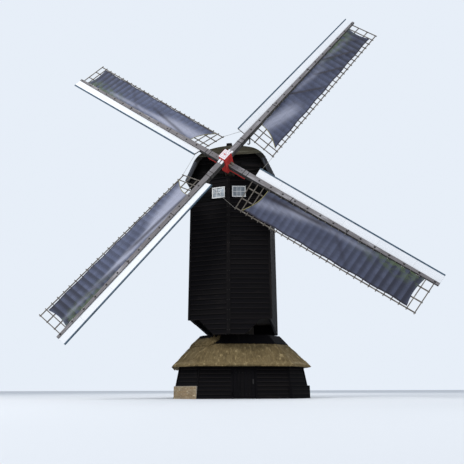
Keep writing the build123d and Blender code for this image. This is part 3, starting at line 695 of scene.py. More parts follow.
def draw_up(levels):
    """Draws the selected ring of edges on through further levels, each a half width and a height."""
    for (half, z), (next_half, next_z) in zip(levels, levels[1:]):
        bpy.ops.mesh.extrude_edges_move(TRANSFORM_OT_translate={"value": (0, 0, next_z - z)})
        ratio = next_half / half
        bpy.ops.transform.resize(value=(ratio, ratio, 1), center_override=(0, 0, next_z))


def thatch():
    """The thatched coat: a swelling hipped ring with a thick rounded eave."""
    eave = ((0.03 - THATCH_RUN, -0.002), (-0.24, -0.030), (-0.10, -0.050), (-0.012, -0.026), (0.022, 0.022),
            (0.024, 0.075))
    levels = [(EAVE_HALF + out, WALL_TOP + up) for out, up in eave]
    for step in range(1, 15):
        share = 0.05 + 0.95 * step / 14
        levels.append((thatch_half(share, 0.012), WALL_TOP + (ROOF_HEAD_Z - WALL_TOP) * share))
    coat = octagon(*levels[0])
    draw_up(levels)
    select_mesh()
    bpy.ops.mesh.normals_make_consistent(inside=False)
    bpy.ops.transform.vertex_random(offset=0.006, uniform=0.0, normal=1.0, seed=3)
    mode("OBJECT")
    modify(coat, "SOLIDIFY", thickness=0.018)
    modify(coat, "SUBSURF", levels=1, render_levels=1)
    bpy.ops.object.shade_smooth()
    bpy.ops.object.transform_apply()
    finished(at(coat, BASE_TURN), "thatch_coat", THATCH, "base", "thatch")


def reeds():
    """Tufts of reed laid down the slopes, rough at the eave, and drawn up over the collar at the front left."""
    blades = []
    for number in range(4):
        x = (number - 1.5) * 0.026
        blade = block((x - 0.009, 0, 0.001), (x + 0.009, 0.30, 0.009 + 0.003 * (number % 3)))
        slide(blade, lambda v: v.y > 0.2, (0, 0, -0.004))
        pick(blade, lambda v: v.y > 0.2)
        bpy.ops.transform.resize(value=(0.4, 1, 0.3), center_override=(x, 0.3, 0))
        mode("OBJECT")
        slide(blade, lambda v: True, (0, 0.05 * ((number * 7) % 3) - 0.05, 0))
        blades.append(blade)
    tuft = joined(blades)
    rise = ROOF_HEAD_Z - WALL_TOP

    def laid(index, share, along, lift=0.013):
        """A tuft's place on one of the eight slopes, at a share of its height and of its width."""
        ends = []
        for here, proud in ((max(share, 0.0), lift + 0.007), (min(1.0, share + 0.14), lift)):
            half = thatch_half(here, proud)
            start, end = base_edge(index, half, half * EAVE_SIDE / EAVE_HALF)
            point = start.lerp(end, along)
            point.z = WALL_TOP + rise * here
            ends.append(point)
        foot, head = ends
        if share < 0:
            foot += (foot - head).normalized() * -share * rise * 0.9
        up = (head - foot).normalized()
        start, end = base_edge(index, EAVE_HALF, EAVE_SIDE)
        side = (end - start).normalized()
        turn = Matrix((side, up, side.cross(up))).transposed().to_4x4()
        sway = Matrix.Rotation(chance.uniform(-0.07, 0.07), 4, "Z")
        return BASE_TURN @ Matrix.Translation(foot) @ turn @ sway

    places = []
    for index in range(8):
        for number in range(160 if index % 2 else 460):
            share = chance.uniform(0.02, 0.70) if number % 2 else chance.uniform(-0.012, 0.03)
            along = chance.uniform(0.01, 0.99)
            over_door = index == 0 and abs(along - 0.5) < 0.17
            places.append(laid(index, max(share, 0.055) if over_door else share, along))
    for index, count, first, last in ((7, 170, 0.0, 1.0), (6, 230, 0.45, 1.0), (0, 60, 0.0, 0.13)):
        for number in range(count):
            share = chance.uniform(0.64, 0.875)
            furthest = last if index else last * (0.3 + 3 * (share - 0.64))
            places.append(laid(index, share, chance.uniform(first, furthest), 0.062 if share < 0.7 else 0.092))
    finished(spread(tuft, places), "reed_ends", REED, "base", "thatch")


def collar_boards():
    """Boards laid down the slope round the head of the thatch."""
    sides = []
    share = (COLLAR_FOOT_Z - WALL_TOP) / (ROOF_HEAD_Z - WALL_TOP)
    foot_half = EAVE_HALF + (ROOF_HEAD - EAVE_HALF) * share + COLLAR_THICK
    foot_side = EAVE_SIDE + (ROOF_HEAD_SIDE - EAVE_SIDE) * share + COLLAR_THICK * CORNER_SLOPE
    head_half, head_side = ROOF_HEAD + COLLAR_THICK, ROOF_HEAD_SIDE + COLLAR_THICK * CORNER_SLOPE
    lean = math.atan2(foot_half - head_half, ROOF_HEAD_Z - COLLAR_FOOT_Z)
    rise = math.hypot(foot_half - head_half, ROOF_HEAD_Z - COLLAR_FOOT_Z)
    for index in range(8):
        middle, half = base_side(index, foot_half, foot_side)
        middle.z = COLLAR_FOOT_Z
        top = base_side(index, head_half, head_side)[1]
        plank = block((0, -0.03, 0.001), (0.145, rise + 0.004, 0.020), 0.003)
        places = [Matrix.Translation((-half + i * 0.15, chance.uniform(-0.012, 0.006), chance.uniform(0, 0.004)))
                  for i in range(int(2 * half / 0.15) + 1)]
        side = spread(plank, places)
        saw_ends(side, half, rise, half - top)
        side.matrix_world = BASE_TURN @ wall_frame(middle, Vector((middle.x, middle.y, 0)), lean)
        sides.append(side)
    finished(joined(sides), "collar_planks", TAR_UPRIGHT, "base", "tarred_boards")


# Body: weatherboards, windows, rear door

def body_boards():
    """Lapped boards on the body's sides, rear and two front screens, cut round its openings."""
    fall = (FRONT_BOTTOM - REAR_BOTTOM) / (BODY_REAR - BODY_FRONT)
    for name, sign, ends in (("left_weatherboards", -1, (-BODY_REAR, -BODY_FRONT - 0.08)),
                             ("right_weatherboards", 1, (BODY_FRONT + 0.08, BODY_REAR))):
        wall = lapped_wall(*ends, REAR_BOTTOM - 0.25, 11.29)
        wall = at(wall, wall_frame((sign * BODY_HALF, 0, 0), (sign, 0, 0)))
        saw(wall, (0, BODY_REAR, REAR_BOTTOM), (0, -fall, -1))
        saw(wall, (0, 0, WALL_HEAD), (0, 0, 1))
        finished(wall, name, TAR, "mill_body", "tarred_boards")
    rear = at(lapped_wall(-BODY_HALF, BODY_HALF, REAR_BOTTOM, 11.3), REAR_WALL)
    saw(rear, (0, 0, WALL_HEAD), (0, 0, 1))
    carve(rear, block((-REAR_DOOR_HALF - 0.07, 1.9, FLOOR_TOP - 0.07),
                      (REAR_DOOR_HALF + 0.07, 2.3, FLOOR_TOP + REAR_DOOR_HEIGHT + 0.07)))
    tail_pole_hole = block((-0.17, 1.9, 3.0), (0.17, 2.3, 3.60))
    carve(rear, tail_pole_hole)
    gable = at(lapped_wall(-GABLE_HALF, GABLE_HALF, REAR_BOTTOM + 32 * BOARD_ROW, 13.2), REAR_WALL)
    saw(gable, (0, 0, 11.345), (0, 0, -1))
    trimmed_to_roof(gable, ROOF_THICK)
    finished(joined([rear, gable]), "rear_weatherboards", TAR, "mill_body", "tarred_boards")
    gable = lapped_wall(-GABLE_HALF, GABLE_HALF, 11.26, 13.2, 0.21, 0.022)
    gable = trimmed_to_roof(at(gable, wall_frame((0, FRONT_GABLE, 0), (0, -1, 0))), ROOF_THICK)
    bpy.ops.mesh.primitive_cylinder_add(vertices=32, radius=0.33, depth=1, location=(0, FRONT_GABLE, 11.62),
                                        rotation=(math.radians(90) - SHAFT_TILT, 0, 0))
    carve(gable, bpy.context.object)
    finished(gable, "front_gable_boards", TAR, "mill_body", "tarred_boards")
    for sign, name in ((-1, "front_weatherboards_left"), (1, "front_weatherboards_right")):
        furthest, low_reach, apron_foot = (half * SCREEN_STRETCH
                                           for half in (SCREEN_HALF, APRON_SHOULDER, APRON_HALF))
        apron = lapped_wall(*sorted((0, sign * low_reach)), APRON_BOTTOM, FRONT_BOTTOM - 0.02)
        saw(apron, (sign * apron_foot, APRON_BOTTOM, 0),
            (sign * (FRONT_BOTTOM - APRON_BOTTOM), apron_foot - low_reach, 0))
        upper = lapped_wall(*sorted((0, sign * furthest)), APRON_BOTTOM + 3 * BOARD_ROW - 0.01, BODY_TOP)
        saw(upper, (0, BODY_TOP, 0), (0, 1, 0))
        screen = joined([upper, apron])
        x = sign * WINDOW_X * SCREEN_STRETCH
        carve(screen, block((x - WINDOW_WIDTH / 2, WINDOW_Z - WINDOW_HEIGHT / 2, -0.1),
                            (x + WINDOW_WIDTH / 2, WINDOW_Z + WINDOW_HEIGHT / 2, 0.2)))
        saw(screen, (0, 0, 0), (-sign, 0, 0))
        finished(at(screen, screen_frame(sign)), name, TAR, "mill_body", "tarred_boards")


def arc_points(start, middle, end, count):
    """Points on the circle through three points."""
    (ax, ay), (bx, by), (cx, cy) = start, middle, end
    d = 2 * (ax * (by - cy) + bx * (cy - ay) + cx * (ay - by))
    ux = ((ax ** 2 + ay ** 2) * (by - cy) + (bx ** 2 + by ** 2) * (cy - ay) + (cx ** 2 + cy ** 2) * (ay - by)) / d
    uy = ((ax ** 2 + ay ** 2) * (cx - bx) + (bx ** 2 + by ** 2) * (ax - cx) + (cx ** 2 + cy ** 2) * (bx - ax)) / d
    radius = math.hypot(ax - ux, ay - uy)
    first, last = math.atan2(ay - uy, ax - ux), math.atan2(cy - uy, cx - ux)
    return [(ux + radius * math.cos(first + (last - first) * i / count),
             uy + radius * math.sin(first + (last - first) * i / count)) for i in range(count + 1)]


def roof_line(shrink=0.0, steps=40):
    """Half of the roof's outline, from the eave to the ridge."""
    eave, shoulder = (2.43 - shrink, 11.33), (1.97 - shrink, 12.42 - shrink / 2)
    middle, crown = (1.63 - shrink * 0.8, 12.83 - shrink * 0.8), (1.10 - shrink / 2, 13.08 - shrink)
    line = [eave, *arc_points(shoulder, middle, crown, steps)]
    return line + arc_points(crown, (0.0, 13.22 - shrink), (-crown[0], crown[1]), 2 * steps)[1:steps + 1]


def trimmed_to_roof(piece, shrink):
    """Saws a piece to the roof's outline, chord by chord."""
    line = roof_line(shrink, 6)
    for (x0, z0), (x1, z1) in zip(line, line[1:]):
        for sign in (-1, 1):
            saw(piece, (sign * x0, 0, z0), (sign * (z1 - z0), 0, x0 - x1))
    return piece


def roof_boards():
    """Lapped boards running the length of the roof, from the eaves to the ridge, under a ridge cap."""
    line = roof_line()
    marks = [0.0]
    for a, b in zip(line, line[1:]):
        marks.append(marks[-1] + math.dist(a, b))

    def on_line(distance):
        for a, b, m, n in zip(line, line[1:], marks, marks[1:]):
            if distance <= n:
                share = (distance - m) / (n - m)
                return a[0] + (b[0] - a[0]) * share, a[1] + (b[1] - a[1]) * share
        return line[-1]

    row = marks[-1] / ROOF_ROWS
    board = block((0, 0, 0.001), (1, row + 0.03, 0.021), 0.002)
    slide(board, lambda v: v.y > row and v.z > 0.01, (0, 0, -0.017))
    places = []
    length = ROOF_REAR - ROOF_FRONT
    for number in range(ROOF_ROWS):
        low, high = on_line(number * row), on_line(min(marks[-1], (number + 1) * row + 0.03))
        rise = math.atan2(high[1] - low[1], low[0] - high[0])
        for sign in (-1, 1):
            side = Vector((0, sign, 0))
            up = Vector((-sign * math.cos(rise), 0, math.sin(rise)))
            turn = Matrix((side, up, side.cross(up))).transposed().to_4x4()
            lift = 0.0045 if low[1] > 12.3 else 0.0005
            start = ROOF_REAR if sign < 0 else ROOF_FRONT
            split = chance.uniform(0.3, 0.7) * length
            for a, b in ((0, split), (split, length)):
                spot = Vector((sign * low[0], start + sign * (a + 0.001), low[1])) + turn.col[2].xyz * lift
                places.append((Matrix.Translation(spot) @ turn, b - a - 0.002))
    boards = spread(board, places)
    saw(boards, (0, ROOF_FRONT, 0), (0, -1, 0))
    saw(boards, (0, ROOF_REAR, 0), (0, 1, 0))
    finished(boards, "roof_covering", ROOF, "mill_body", "roof_boards")
    cap = []
    for sign in (-1, 1):
        half = block((0, ROOF_FRONT - 0.02, 0), (0.17, ROOF_REAR + 0.01, 0.022), 0.003)
        fold = Matrix.Rotation(sign * math.radians(7), 4, "Y") @ Matrix.Scale(sign, 4, (1, 0, 0))
        cap.append(marked(half, Matrix.Translation((0, 0, 13.238)) @ fold))
    post = block((-0.20, -2.84, 13.16), (0.14, -2.50, 13.47), 0.006)
    pick(post, lambda v: v.z > 13.3)
    bpy.ops.transform.resize(value=(0.84, 0.84, 1), center_override=(-0.03, -2.67, 13.47))
    mode("OBJECT")
    finished(joined([post]), "ridge_post", TAR_UPRIGHT, "mill_body", "roof_boards")
    finished(faced_out(joined(cap)), "ridge_cap", ROOF, "mill_body", "roof_boards")


def fascia_boards():
    """Boards along the edge of the roof's front, and the wide band under its crown."""
    y = ROOF_FRONT - 0.06
    band = spread(block((0, 0.002, 0), (1, 0.196, 0.014), 0.003),
                  [(Matrix.Translation((-2.2, 12.655 + 0.198 * i, 0.0005)), 4.4) for i in range(4)])
    band = trimmed_to_roof(at(band, wall_frame((0, y, 0), (0, -1, 0))), 0.004)
    strips = []
    (foot_x, foot_z), (head_x, head_z) = roof_line()[:2]
    for sign in (-1, 1):
        foot, head = Vector((sign * foot_x, y, foot_z)), Vector((sign * head_x, y, head_z))
        along = (head - foot).normalized() * sign
        inward = Vector((-abs(along.z) * sign, 0, -abs(along.x)))
        turn = Matrix((along, inward, Vector((0, -1, 0)))).transposed().to_4x4()
        for low, high in ((0.006, 0.118), (0.122, 0.232)):
            board = block((0, low, 0.0005), ((head - foot).length, high, 0.015), 0.003)
            strips.append(marked(board, Matrix.Translation(foot if sign > 0 else head) @ turn))
    finished(faced_out(joined(strips)), "verge_boards", FASCIA_GREY_PAINTED_LIGHT, "mill_body", "weathered_fascia")
    finished(band, "fascia_band_boards", FASCIA, "mill_body", "weathered_fascia")


def window_dressing():
    """Glazing bars in both front windows, and the sill, head and edge boards round them."""
    bars, casings = [], []
    half_w, half_h = WINDOW_WIDTH / 2, WINDOW_HEIGHT / 2
    clear_w, clear_h = half_w - WINDOW_FRAME, half_h - WINDOW_FRAME
    for sign in (-1, 1):
        here = screen_frame(sign) @ Matrix.Translation((sign * WINDOW_X * SCREEN_STRETCH, WINDOW_Z, 0))
        for x in (-clear_w / 3, clear_w / 3):
            bars.append(marked(block((x - 0.011, -clear_h, -0.036), (x + 0.011, clear_h, 0.004), 0.004), here))
        bars.append(marked(block((-clear_w, -0.011, -0.035), (clear_w, 0.011, 0.0035), 0.004), here))
        sill = block((-half_w - 0.05, -half_h - 0.052, 0.020), (half_w + 0.05, -half_h - 0.004, 0.066), 0.006)
        slide(sill, lambda v: v.z > 0.05 and v.y > -half_h - 0.02, (0, -0.012, 0))
        head = block((-half_w - 0.03, half_h + 0.003, 0.020), (half_w + 0.03, half_h + 0.024, 0.052), 0.005)
        casings += [marked(sill, here), marked(head, here)]
        for x in (-half_w - 0.022, half_w + 0.022):
            casings.append(marked(block((x - 0.022, -half_h, 0.020), (x + 0.022, half_h, 0.042), 0.004), here))
    finished(joined(bars), "window_bars", WHITE, "mill_body", "white_paint")
    finished(joined(casings), "window_casings", TAR, "mill_body", "tarred_boards")


def rear_door_dressing():
    """The rear door's planks and ironwork, and the casing and step round it."""
    half, low, high = REAR_DOOR_HALF, FLOOR_TOP, FLOOR_TOP + REAR_DOOR_HEIGHT
    upright = Matrix.Rotation(math.radians(90), 4, "Z") @ Matrix.Translation((0, -0.178, 0))
    planks = spread(block((0, 0.004, 0), (1, 0.176, 0.020), 0.003),
                    [(Matrix.Translation((-half + 0.004 + 0.1785 * i, low + 0.004, 0.0005)) @ upright,
                      high - low - 0.008) for i in range(5)])
    finished(at(planks, REAR_WALL), "rear_door_planks", TAR_UPRIGHT, "mill_body", "tarred_boards")
    casing = [block((-half - 0.065, low - 0.065, 0.001), (-half - 0.003, high + 0.065, 0.044), 0.004),
              block((half + 0.003, low - 0.065, 0.001), (half + 0.065, high + 0.065, 0.044), 0.004),
              block((-half - 0.002, high + 0.003, 0.001), (half + 0.002, high + 0.065, 0.044), 0.004),
              block((-half - 0.10, low - 0.064, 0.001), (half + 0.10, low - 0.004, 0.075), 0.006)]
    for piece in casing:
        mark_grain(piece)
    iron = []
    for z in (low + 0.3, high - 0.3):
        iron.append(block((-half + 0.01, z - 0.022, 0.021), (half - 0.18, z + 0.022, 0.027), 0.002))
        for i in range(4):
            x = -half + 0.08 + i * 0.17
            iron.append(rod((x, z, 0.026), (x, z, 0.034), 0.010, 8, 0.002))
    iron.append(rod((half - 0.09, low + 0.95, 0.02), (half - 0.09, low + 0.95, 0.07), 0.012, 10, 0.003))
    finished(at(joined(iron), REAR_WALL), "rear_door_ironwork", DARK_IRON, "mill_body", "tarred_boards")
    finished(at(joined(casing), REAR_WALL), "rear_door_casing", TAR, "mill_body", "tarred_boards")


def cover_strips():
    """Upright boards at the body's rear corners, and bolts down the front ridge board."""
    strips = []
    for sign in (-1, 1):
        for x, here in ((sign * (BODY_REAR - 0.055), wall_frame((sign * BODY_HALF, 0, 0), (sign, 0, 0))),
                        (-sign * (BODY_HALF - 0.04), REAR_WALL)):
            board = block((x - 0.058, REAR_BOTTOM + 0.01, 0.029), (x + 0.058, WALL_HEAD, 0.054), 0.005)
            strips.append(marked(board, here))
    finished(joined(strips), "rear_corner_boards", TAR_UPRIGHT, "mill_body", "tarred_boards")
    studs = []
    for number in range(17):
        for x in (-0.055, 0.055):
            z = 3.2 + number * 0.49
            studs.append(rod((x, 0.008, z), (x, -0.006, z), 0.014, 8, 0.003))
            studs[-1].matrix_world = Matrix.Translation((0, BODY_FRONT - FRONT_POINT - 0.04, 0))
    finished(joined(studs), "ridge_board_bolts", IRON, "mill_body", "tarred_boards")


def floor_boards():
    """Planks on the two floors, laid across the beams, with a hole for the post in the lower one."""
    planks = []
    for top, hole in ((FLOOR_TOP, 0.37), (UPPER_FLOOR, 0.0)):
        y = -2.86
        plank = block((0, 0.003, 0.0005), (1, PLANK_WIDTH - 0.003, 0.012), 0.002)
        places = []
        while y + PLANK_WIDTH < 2.0:
            split = chance.uniform(-0.9, 0.9)
            for a, b in ((-FLOOR_HALF, split), (split, FLOOR_HALF)):
                places.append((Matrix.Translation((a + 0.002, y, top)), b - a - 0.004))
            y += PLANK_WIDTH
        floor = spread(plank, places)
        if hole:
            bpy.ops.mesh.primitive_cylinder_add(vertices=48, radius=hole, depth=1, location=(0, 0, top))
            carve(floor, bpy.context.object)
        planks.append(floor)
    finished(joined(planks), "floor_planks", PLANKS, "mill_body", "floor_planks")


# Sails: everything is shaped flat and then wound onto the twisted plane of its arm

def weather(r):
    """How steeply the sail is turned out of its plane of motion at a distance from the hub."""
    root, tip = math.tan(WEATHER_ROOT), math.tan(WEATHER_TIP)
    return root + (tip - root) * (r - FIRST_BAR) / (LAST_BAR - FIRST_BAR)


def sail_point(r, y, front=0.0):
    slope = weather(r)
    tip = 1 / math.hypot(1, slope)
    return Vector((r, y - front * slope * tip, y * slope + front * tip))


def wound(piece):
    """Winds a flat piece onto the sail's twisted plane, which no single turn of it gives."""
    for vertex in piece.data.vertices:
        vertex.co = sail_point(*vertex.co)
    return piece


def stock_width(r):
    share = (r - STOCK_STEP) / (STOCK_REACH - STOCK_STEP)
    return STOCK_WIDTH if r <= STOCK_STEP else STOCK_NECK + share * (STOCK_TIP - STOCK_NECK)


def stock_depth(r):
    share = max(0.0, (r - STOCK_STEP) / (STOCK_REACH - STOCK_STEP))
    return STOCK_DEPTH + share * (STOCK_TIP_DEPTH - STOCK_DEPTH)


def divided(piece, cuts):
    only(piece)
    mode("EDIT")
    select_mesh()
    bpy.ops.mesh.subdivide(number_cuts=cuts)
    mode("OBJECT")
    return piece


def stock_dressing():
    """Front faces of the stocks, weathered and made paler than the stocks' dark sides as painted light, with bolts
    and plates at every second bar.
    """
    faces, iron = [], []
    for here in ARM_FRAMES.values():
        for start, end in ((0.31, STOCK_STEP - 0.004), (STOCK_STEP + 0.002, 6.4), (6.404, STOCK_REACH - 0.003)):
            face = block((start, -0.5, 0), (end, 0.5, 1))
            for vertex in face.data.vertices:
                r, y, z = vertex.co
                lift, narrow = (0.0005, 0.004) if z < 0.5 else (0.007, 0.016)
                vertex.co = (r, y * (stock_width(r) - narrow), stock_depth(r) / 2 + lift)
            faces.append(marked(face, here))
        for r in BARS[1::2]:
            front = stock_depth(r) / 2
            iron.append(block((r - 0.045, -0.040, front + 0.007), (r + 0.045, 0.040, front + 0.012), 0.002))
            iron.append(rod((r, 0, front + 0.011), (r, 0, front + 0.034), 0.026, 6, 0.003))
            iron[-2].matrix_world = iron[-1].matrix_world = here
    finished(joined(faces), "stock_faces", STOCK_FACE_PAINTED_LIGHT, "rotor", "weathered_stock")
    finished(joined(iron), "stock_bolts", IRON, "rotor", "weathered_stock")


def board_dressing():
    """White leading boards in lengths, the stays behind them, and the knobs on their slate blue rail."""
    boards, rails, knobs = [], [], []
    marks = [FIRST_BAR] + BARS[4:-2:5] + [STOCK_REACH]
    for here in ARM_FRAMES.values():
        for start, end in zip(marks, marks[1:]):
            board = divided(block((start + 0.002, 0, 0), (end - 0.002, 1, 1)), 3)
            for vertex in board.data.vertices:
                r, y, z = vertex.co
                inner = stock_width(r) / 2 + 0.003
                vertex.co = (r, inner + y * (BOARD_WIDTH - 0.012), 0.0125 + z * 0.010)
            mark_grain(board)
            boards.append(wound(board))
            board.matrix_world = here
        for r in BARS[::2]:
            y = stock_width(r) / 2 + BOARD_WIDTH + RAIL_WIDTH / 2 - 0.008
            knobs.append(wound(rod((r, y, RAIL_THICK / 2 - 0.002), (r, y, RAIL_THICK / 2 + 0.026), 0.017, 8, 0.006)))
            stay = block((r - 0.022, stock_width(r) / 2 + 0.004, -0.040), (r + 0.022, y + 0.02, -0.0125), 0.003)
            mark_grain(stay)
            rails.append(wound(stay))
            knobs[-1].matrix_world = stay.matrix_world = here
    finished(joined(boards), "leading_board_planks", WHITE_BOARD, "rotor", "board_paint")
    finished(joined(rails), "leading_board_stays", LATTICE_OWN, "rotor", "board_paint")
    finished(joined(knobs), "rail_knobs", RAIL_BLUE, "rotor", "board_paint")


def lattice_nails():
    """A nail head wherever a bar crosses a lath."""
    nails = []
    for here in ARM_FRAMES.values():
        head = rod((0, 0, -0.001), (0, 0, 0.004), 0.009, 6)
        for r in BARS:
            for share in LATH_SHARES:
                nail = head.copy()
                nail.data = head.data.copy()
                bpy.context.collection.objects.link(nail)
                nail.data.transform(Matrix.Translation((r, -BAR_REACH * share, BAR_THICK / 2)))
                nails.append(marked(wound(nail), here))
        bpy.data.objects.remove(head)
    finished(joined(nails), "lattice_nails", IRON, "rotor", "lattice_timber")


def cloth_edge(r):
    """How far the cloth's laced edge lies from the stock's middle: nearest at the lacings."""
    return stock_width(r) / 2 + 0.020 + 0.022 * math.sin(math.pi * (r - FIRST_BAR) / (2 * PITCH)) ** 2


def cloth_start(v):
    """Where the cloth begins along the arm, at a share of its width: its outer corner is drawn in to a horn."""
    return CLOTH_START - 0.06 - CLOTH_HORN * v + 0.16 * math.sin(math.pi * v)


def beside(r, y, start, end):
    """A point's place by a line: its share along it, its distance across it, and the line's length."""
    run, gap = Vector((end[0] - start[0], end[1] - start[1])), Vector((r - start[0], y - start[1]))
    return gap.dot(run) / run.length_squared, (gap.x * run.y - gap.y * run.x) / run.length, run.length


def canvas(number):
    """One sail cloth: stretched on the front of its lattice, slack between the bars and drawn into folds."""
    bpy.ops.mesh.primitive_grid_add(x_subdivisions=CLOTH_GRID[0], y_subdivisions=CLOTH_GRID[1], size=1)
    cloth = bpy.context.object
    outer = BAR_REACH * CLOTH_EDGES[number - 1]
    scallops, *folds = FOLDS[number]
    creases, pales = [], []
    for vertex in cloth.data.vertices:
        u, v = vertex.co.x + 0.5, 0.5 - vertex.co.y
        start = cloth_start(v)
        end = BARS[-2] - 0.04 - 0.10 * math.sin(math.pi * v)
        r = start + (end - start) * u
        scallop = 0.035 * math.sin(math.pi * ((r - scallops) / 1.6 % 1.0)) ** 2
        inner = cloth_edge(r)
        y = -(inner + (outer - scallop - inner) * v)
        rest = abs(math.sin(math.pi * (r - FIRST_BAR) / PITCH)) ** 1.6
        sag = -CLOTH_SAG * rest * math.sin(math.pi * min(1, v * 1.05))
        lift = 0.0
        # This mark is painted shade on the shaded side of each fold, together with the darker hem along the cloth's
        # outer edge.
        fold_shade_and_hem = 0.85 if v > 0.96 else 0.0
        for *line, height, width in folds:
            along, across, length = beside(r, y, *line)
            fade = max(0.0, math.sin(math.pi * min(1, max(0, 0.08 + 0.84 * along)))) if -0.08 < along < 1.08 else 0
            lift += height * fade * math.exp(-(across / width) ** 2)
            dark = min(1, height / 0.045) * math.exp(-((across + 0.9 * width) / (0.95 * width)) ** 2)
            fold_shade_and_hem = max(fold_shade_and_hem, min(1, 1.5 * fade) * dark)
        creases.append(fold_shade_and_hem)
        # Painted highlights: lighter streaks along the stock.
        pale = 0.0
        for *line, strength, width in PAINTED_HIGHLIGHTS[number]:
            along, across, length = beside(r, y, *line)
            beyond = max(0.0, -along, along - 1) * length
            pale += strength * math.exp(-(across / width) ** 2 - (beyond / 0.9) ** 2)
        pales.append(pale)
        vertex.co = (r, y, 0.0247 + max(sag, -CLOTH_SAG) * (1 - min(1, lift / 0.02)) + lift)
    write_marks(cloth.data, [vertex.co.copy() for vertex in cloth.data.vertices], CLOTH_TONES[number - 1])
    # The fold and pale marks written here feed the cloth's painted shade along the folds and its painted highlights.
    for name, values in (("fold_shade_and_hem", creases), ("pale", pales)):
        cloth.data.attributes.new(name, "FLOAT", "POINT")
        cloth.data.attributes[name].data.foreach_set("value", values)
    wound(cloth)
    area = sum(face.area for face in cloth.data.polygons)
    only(cloth)
    modify(cloth, "SOLIDIFY", thickness=0.006, offset=0)
    bpy.ops.object.shade_smooth_by_angle(angle=math.radians(50))
    return cloth, area


def rope_along(points, radius, name="rope"):
    """A rope through points, as a round curve turned into a mesh."""
    curve = bpy.data.curves.new(name, "CURVE")
    curve.dimensions = "3D"
    curve.bevel_depth, curve.bevel_resolution, curve.use_fill_caps = radius, 2, True
    line = curve.splines.new("POLY")
    line.points.add(len(points) - 1)
    for spot, point in zip(line.points, points):
        spot.co = (*point, 1)
    rope = bpy.data.objects.new(name, curve)
    bpy.context.collection.objects.link(rope)
    only(rope)
    bpy.ops.object.convert(target="MESH")
    bpy.ops.object.shade_smooth()
    return bpy.context.object


def sails():
    """Each arm's cloth, the hem rope along its free edge, and the lacing that holds it to the stock."""
    laces = []
    for number, here in ARM_FRAMES.items():
        outer = BAR_REACH * CLOTH_EDGES[number - 1]
        cloth, area = canvas(number)
        cloth = finished(at(cloth, here), f"canvas_{number}", CANVAS, "rotor", "sail_canvas", f"sail_cloth_{number}")
        edge = []
        for i in range(13):
            v = i / 12
            r = cloth_start(v)
            inner = cloth_edge(r)
            edge.append(sail_point(r + 0.004, -(inner + (outer - inner) * v), 0.034))
        hem = at(rope_along(edge, 0.016, f"canvas_hem_{number}"), here)
        finished(hem, f"canvas_hem_{number}", HEM, "rotor", "rope")
        for r in BARS[3:-1]:
            y, z = -(stock_width(r) / 2), stock_depth(r) / 2
            wrap = [Vector(p) for p in ((r - 0.02, y + 0.03, z + 0.012), (r - 0.012, y - 0.006, z + 0.004),
                                        (r, y - 0.010, 0.03))]
            wrap += [sail_point(r + 0.005, -cloth_edge(r) + 0.004, 0.028),
                     sail_point(r + 0.008, -cloth_edge(r) - 0.035, 0.034)]
            laces.append(rope_along(wrap, 0.006))
            laces[-1].matrix_world = here
    finished(joined(laces), "canvas_lacing", ROPE_OWN, "rotor", "rope")


def poll_dressing():
    """White painted front of the poll end with its red lines, wedges beside the stocks, and bolts."""
    here = ARM_FRAMES[1]
    plate = block((-0.275, -0.205, 0.3505), (0.275, 0.205, 0.360), 0.003)
    mark_grain(plate)
    wedges = {0: [], 1: [plate]}
    lines = []
    frame_line = [(-0.205, -0.135), (0.205, -0.135), (0.205, 0.135), (-0.205, 0.135)]
    lozenge = [(-0.16, 0), (0, -0.105), (0.16, 0), (0, 0.105)]
    for loop in (frame_line, lozenge):
        for a, b in zip(loop, loop[1:] + loop[:1]):
            a, b = Vector((*a, 0.3606)), Vector((*b, 0.3606))
            lines.append(block((-0.006, -0.006, 0), ((b - a).length + 0.006, 0.006, 0.003), 0.001))
            lines[-1].matrix_world = Matrix.Translation(a) @ (b - a).to_track_quat("X", "Z").to_matrix().to_4x4()
    lines.append(rod((0, 0, 0.360), (0, 0, 0.385), 0.045, 20, 0.008))
    finished(at(joined(lines), here), "poll_lines", RED, "rotor", "poll_paint")
    for number, arm in ARM_FRAMES.items():
        start = 0.292 if number % 2 else 0.222
        for y in (-0.085, 0.085):
            wedge = block((start, y - 0.055, 0.1455), (start + 0.20, y + 0.055, 0.215), 0.004)
            slide(wedge, lambda v: v.x > start + 0.1 and v.z > 0.2, (0, 0, -0.045))
            wedges[number % 2].append(marked(wedge, here.inverted() @ arm))
    finished(at(joined(wedges[1]), here), "poll_front_and_wedges", WHITE_BOARD, "rotor", "poll_paint")
    finished(at(joined(wedges[0]), here), "inner_stock_wedges", LATTICE_OWN, "rotor", "weathered_stock")
    bolts = []
    for number in (2, 4):
        for r in (0.42, 0.72, 1.02):
            for foot, length in ((-0.2655, -0.018), (0.152, 0.018)):
                bolts.append(rod((r, 0, foot), (r, 0, foot + length), 0.024, 6, 0.003))
                bolts[-1].matrix_world = ARM_FRAMES[number]
    finished(joined(bolts), "brace_bolts", IRON, "rotor", "poll_paint")


def stock_hook():
    """The iron hook under the stock of the first sail."""
    here = ARM_FRAMES[1]
    down = here.to_3x3().inverted() @ Vector((0, 0, -1))
    start = Vector((1.80, -0.140, 0.02))
    side = down.cross(Vector((0, 0, 1))).normalized()
    points = [start + Vector((0, 0.02, 0)), start + Vector((0, -0.03, 0))]
    points += [points[-1] + down * 0.09 * i for i in range(1, 5)]
    for i in range(1, 7):
        angle = math.radians(25 * i)
        points.append(points[5] + down * 0.06 * math.sin(angle) + side * 0.06 * (1 - math.cos(angle)))
    plate = block((1.70, -0.158, -0.06), (1.90, -0.1395, 0.07), 0.002)
    hook = at(joined([rope_along(points, 0.034), plate]), here)
    finished(hook, "stock_hook", DARK_IRON, "rotor", "weathered_stock")


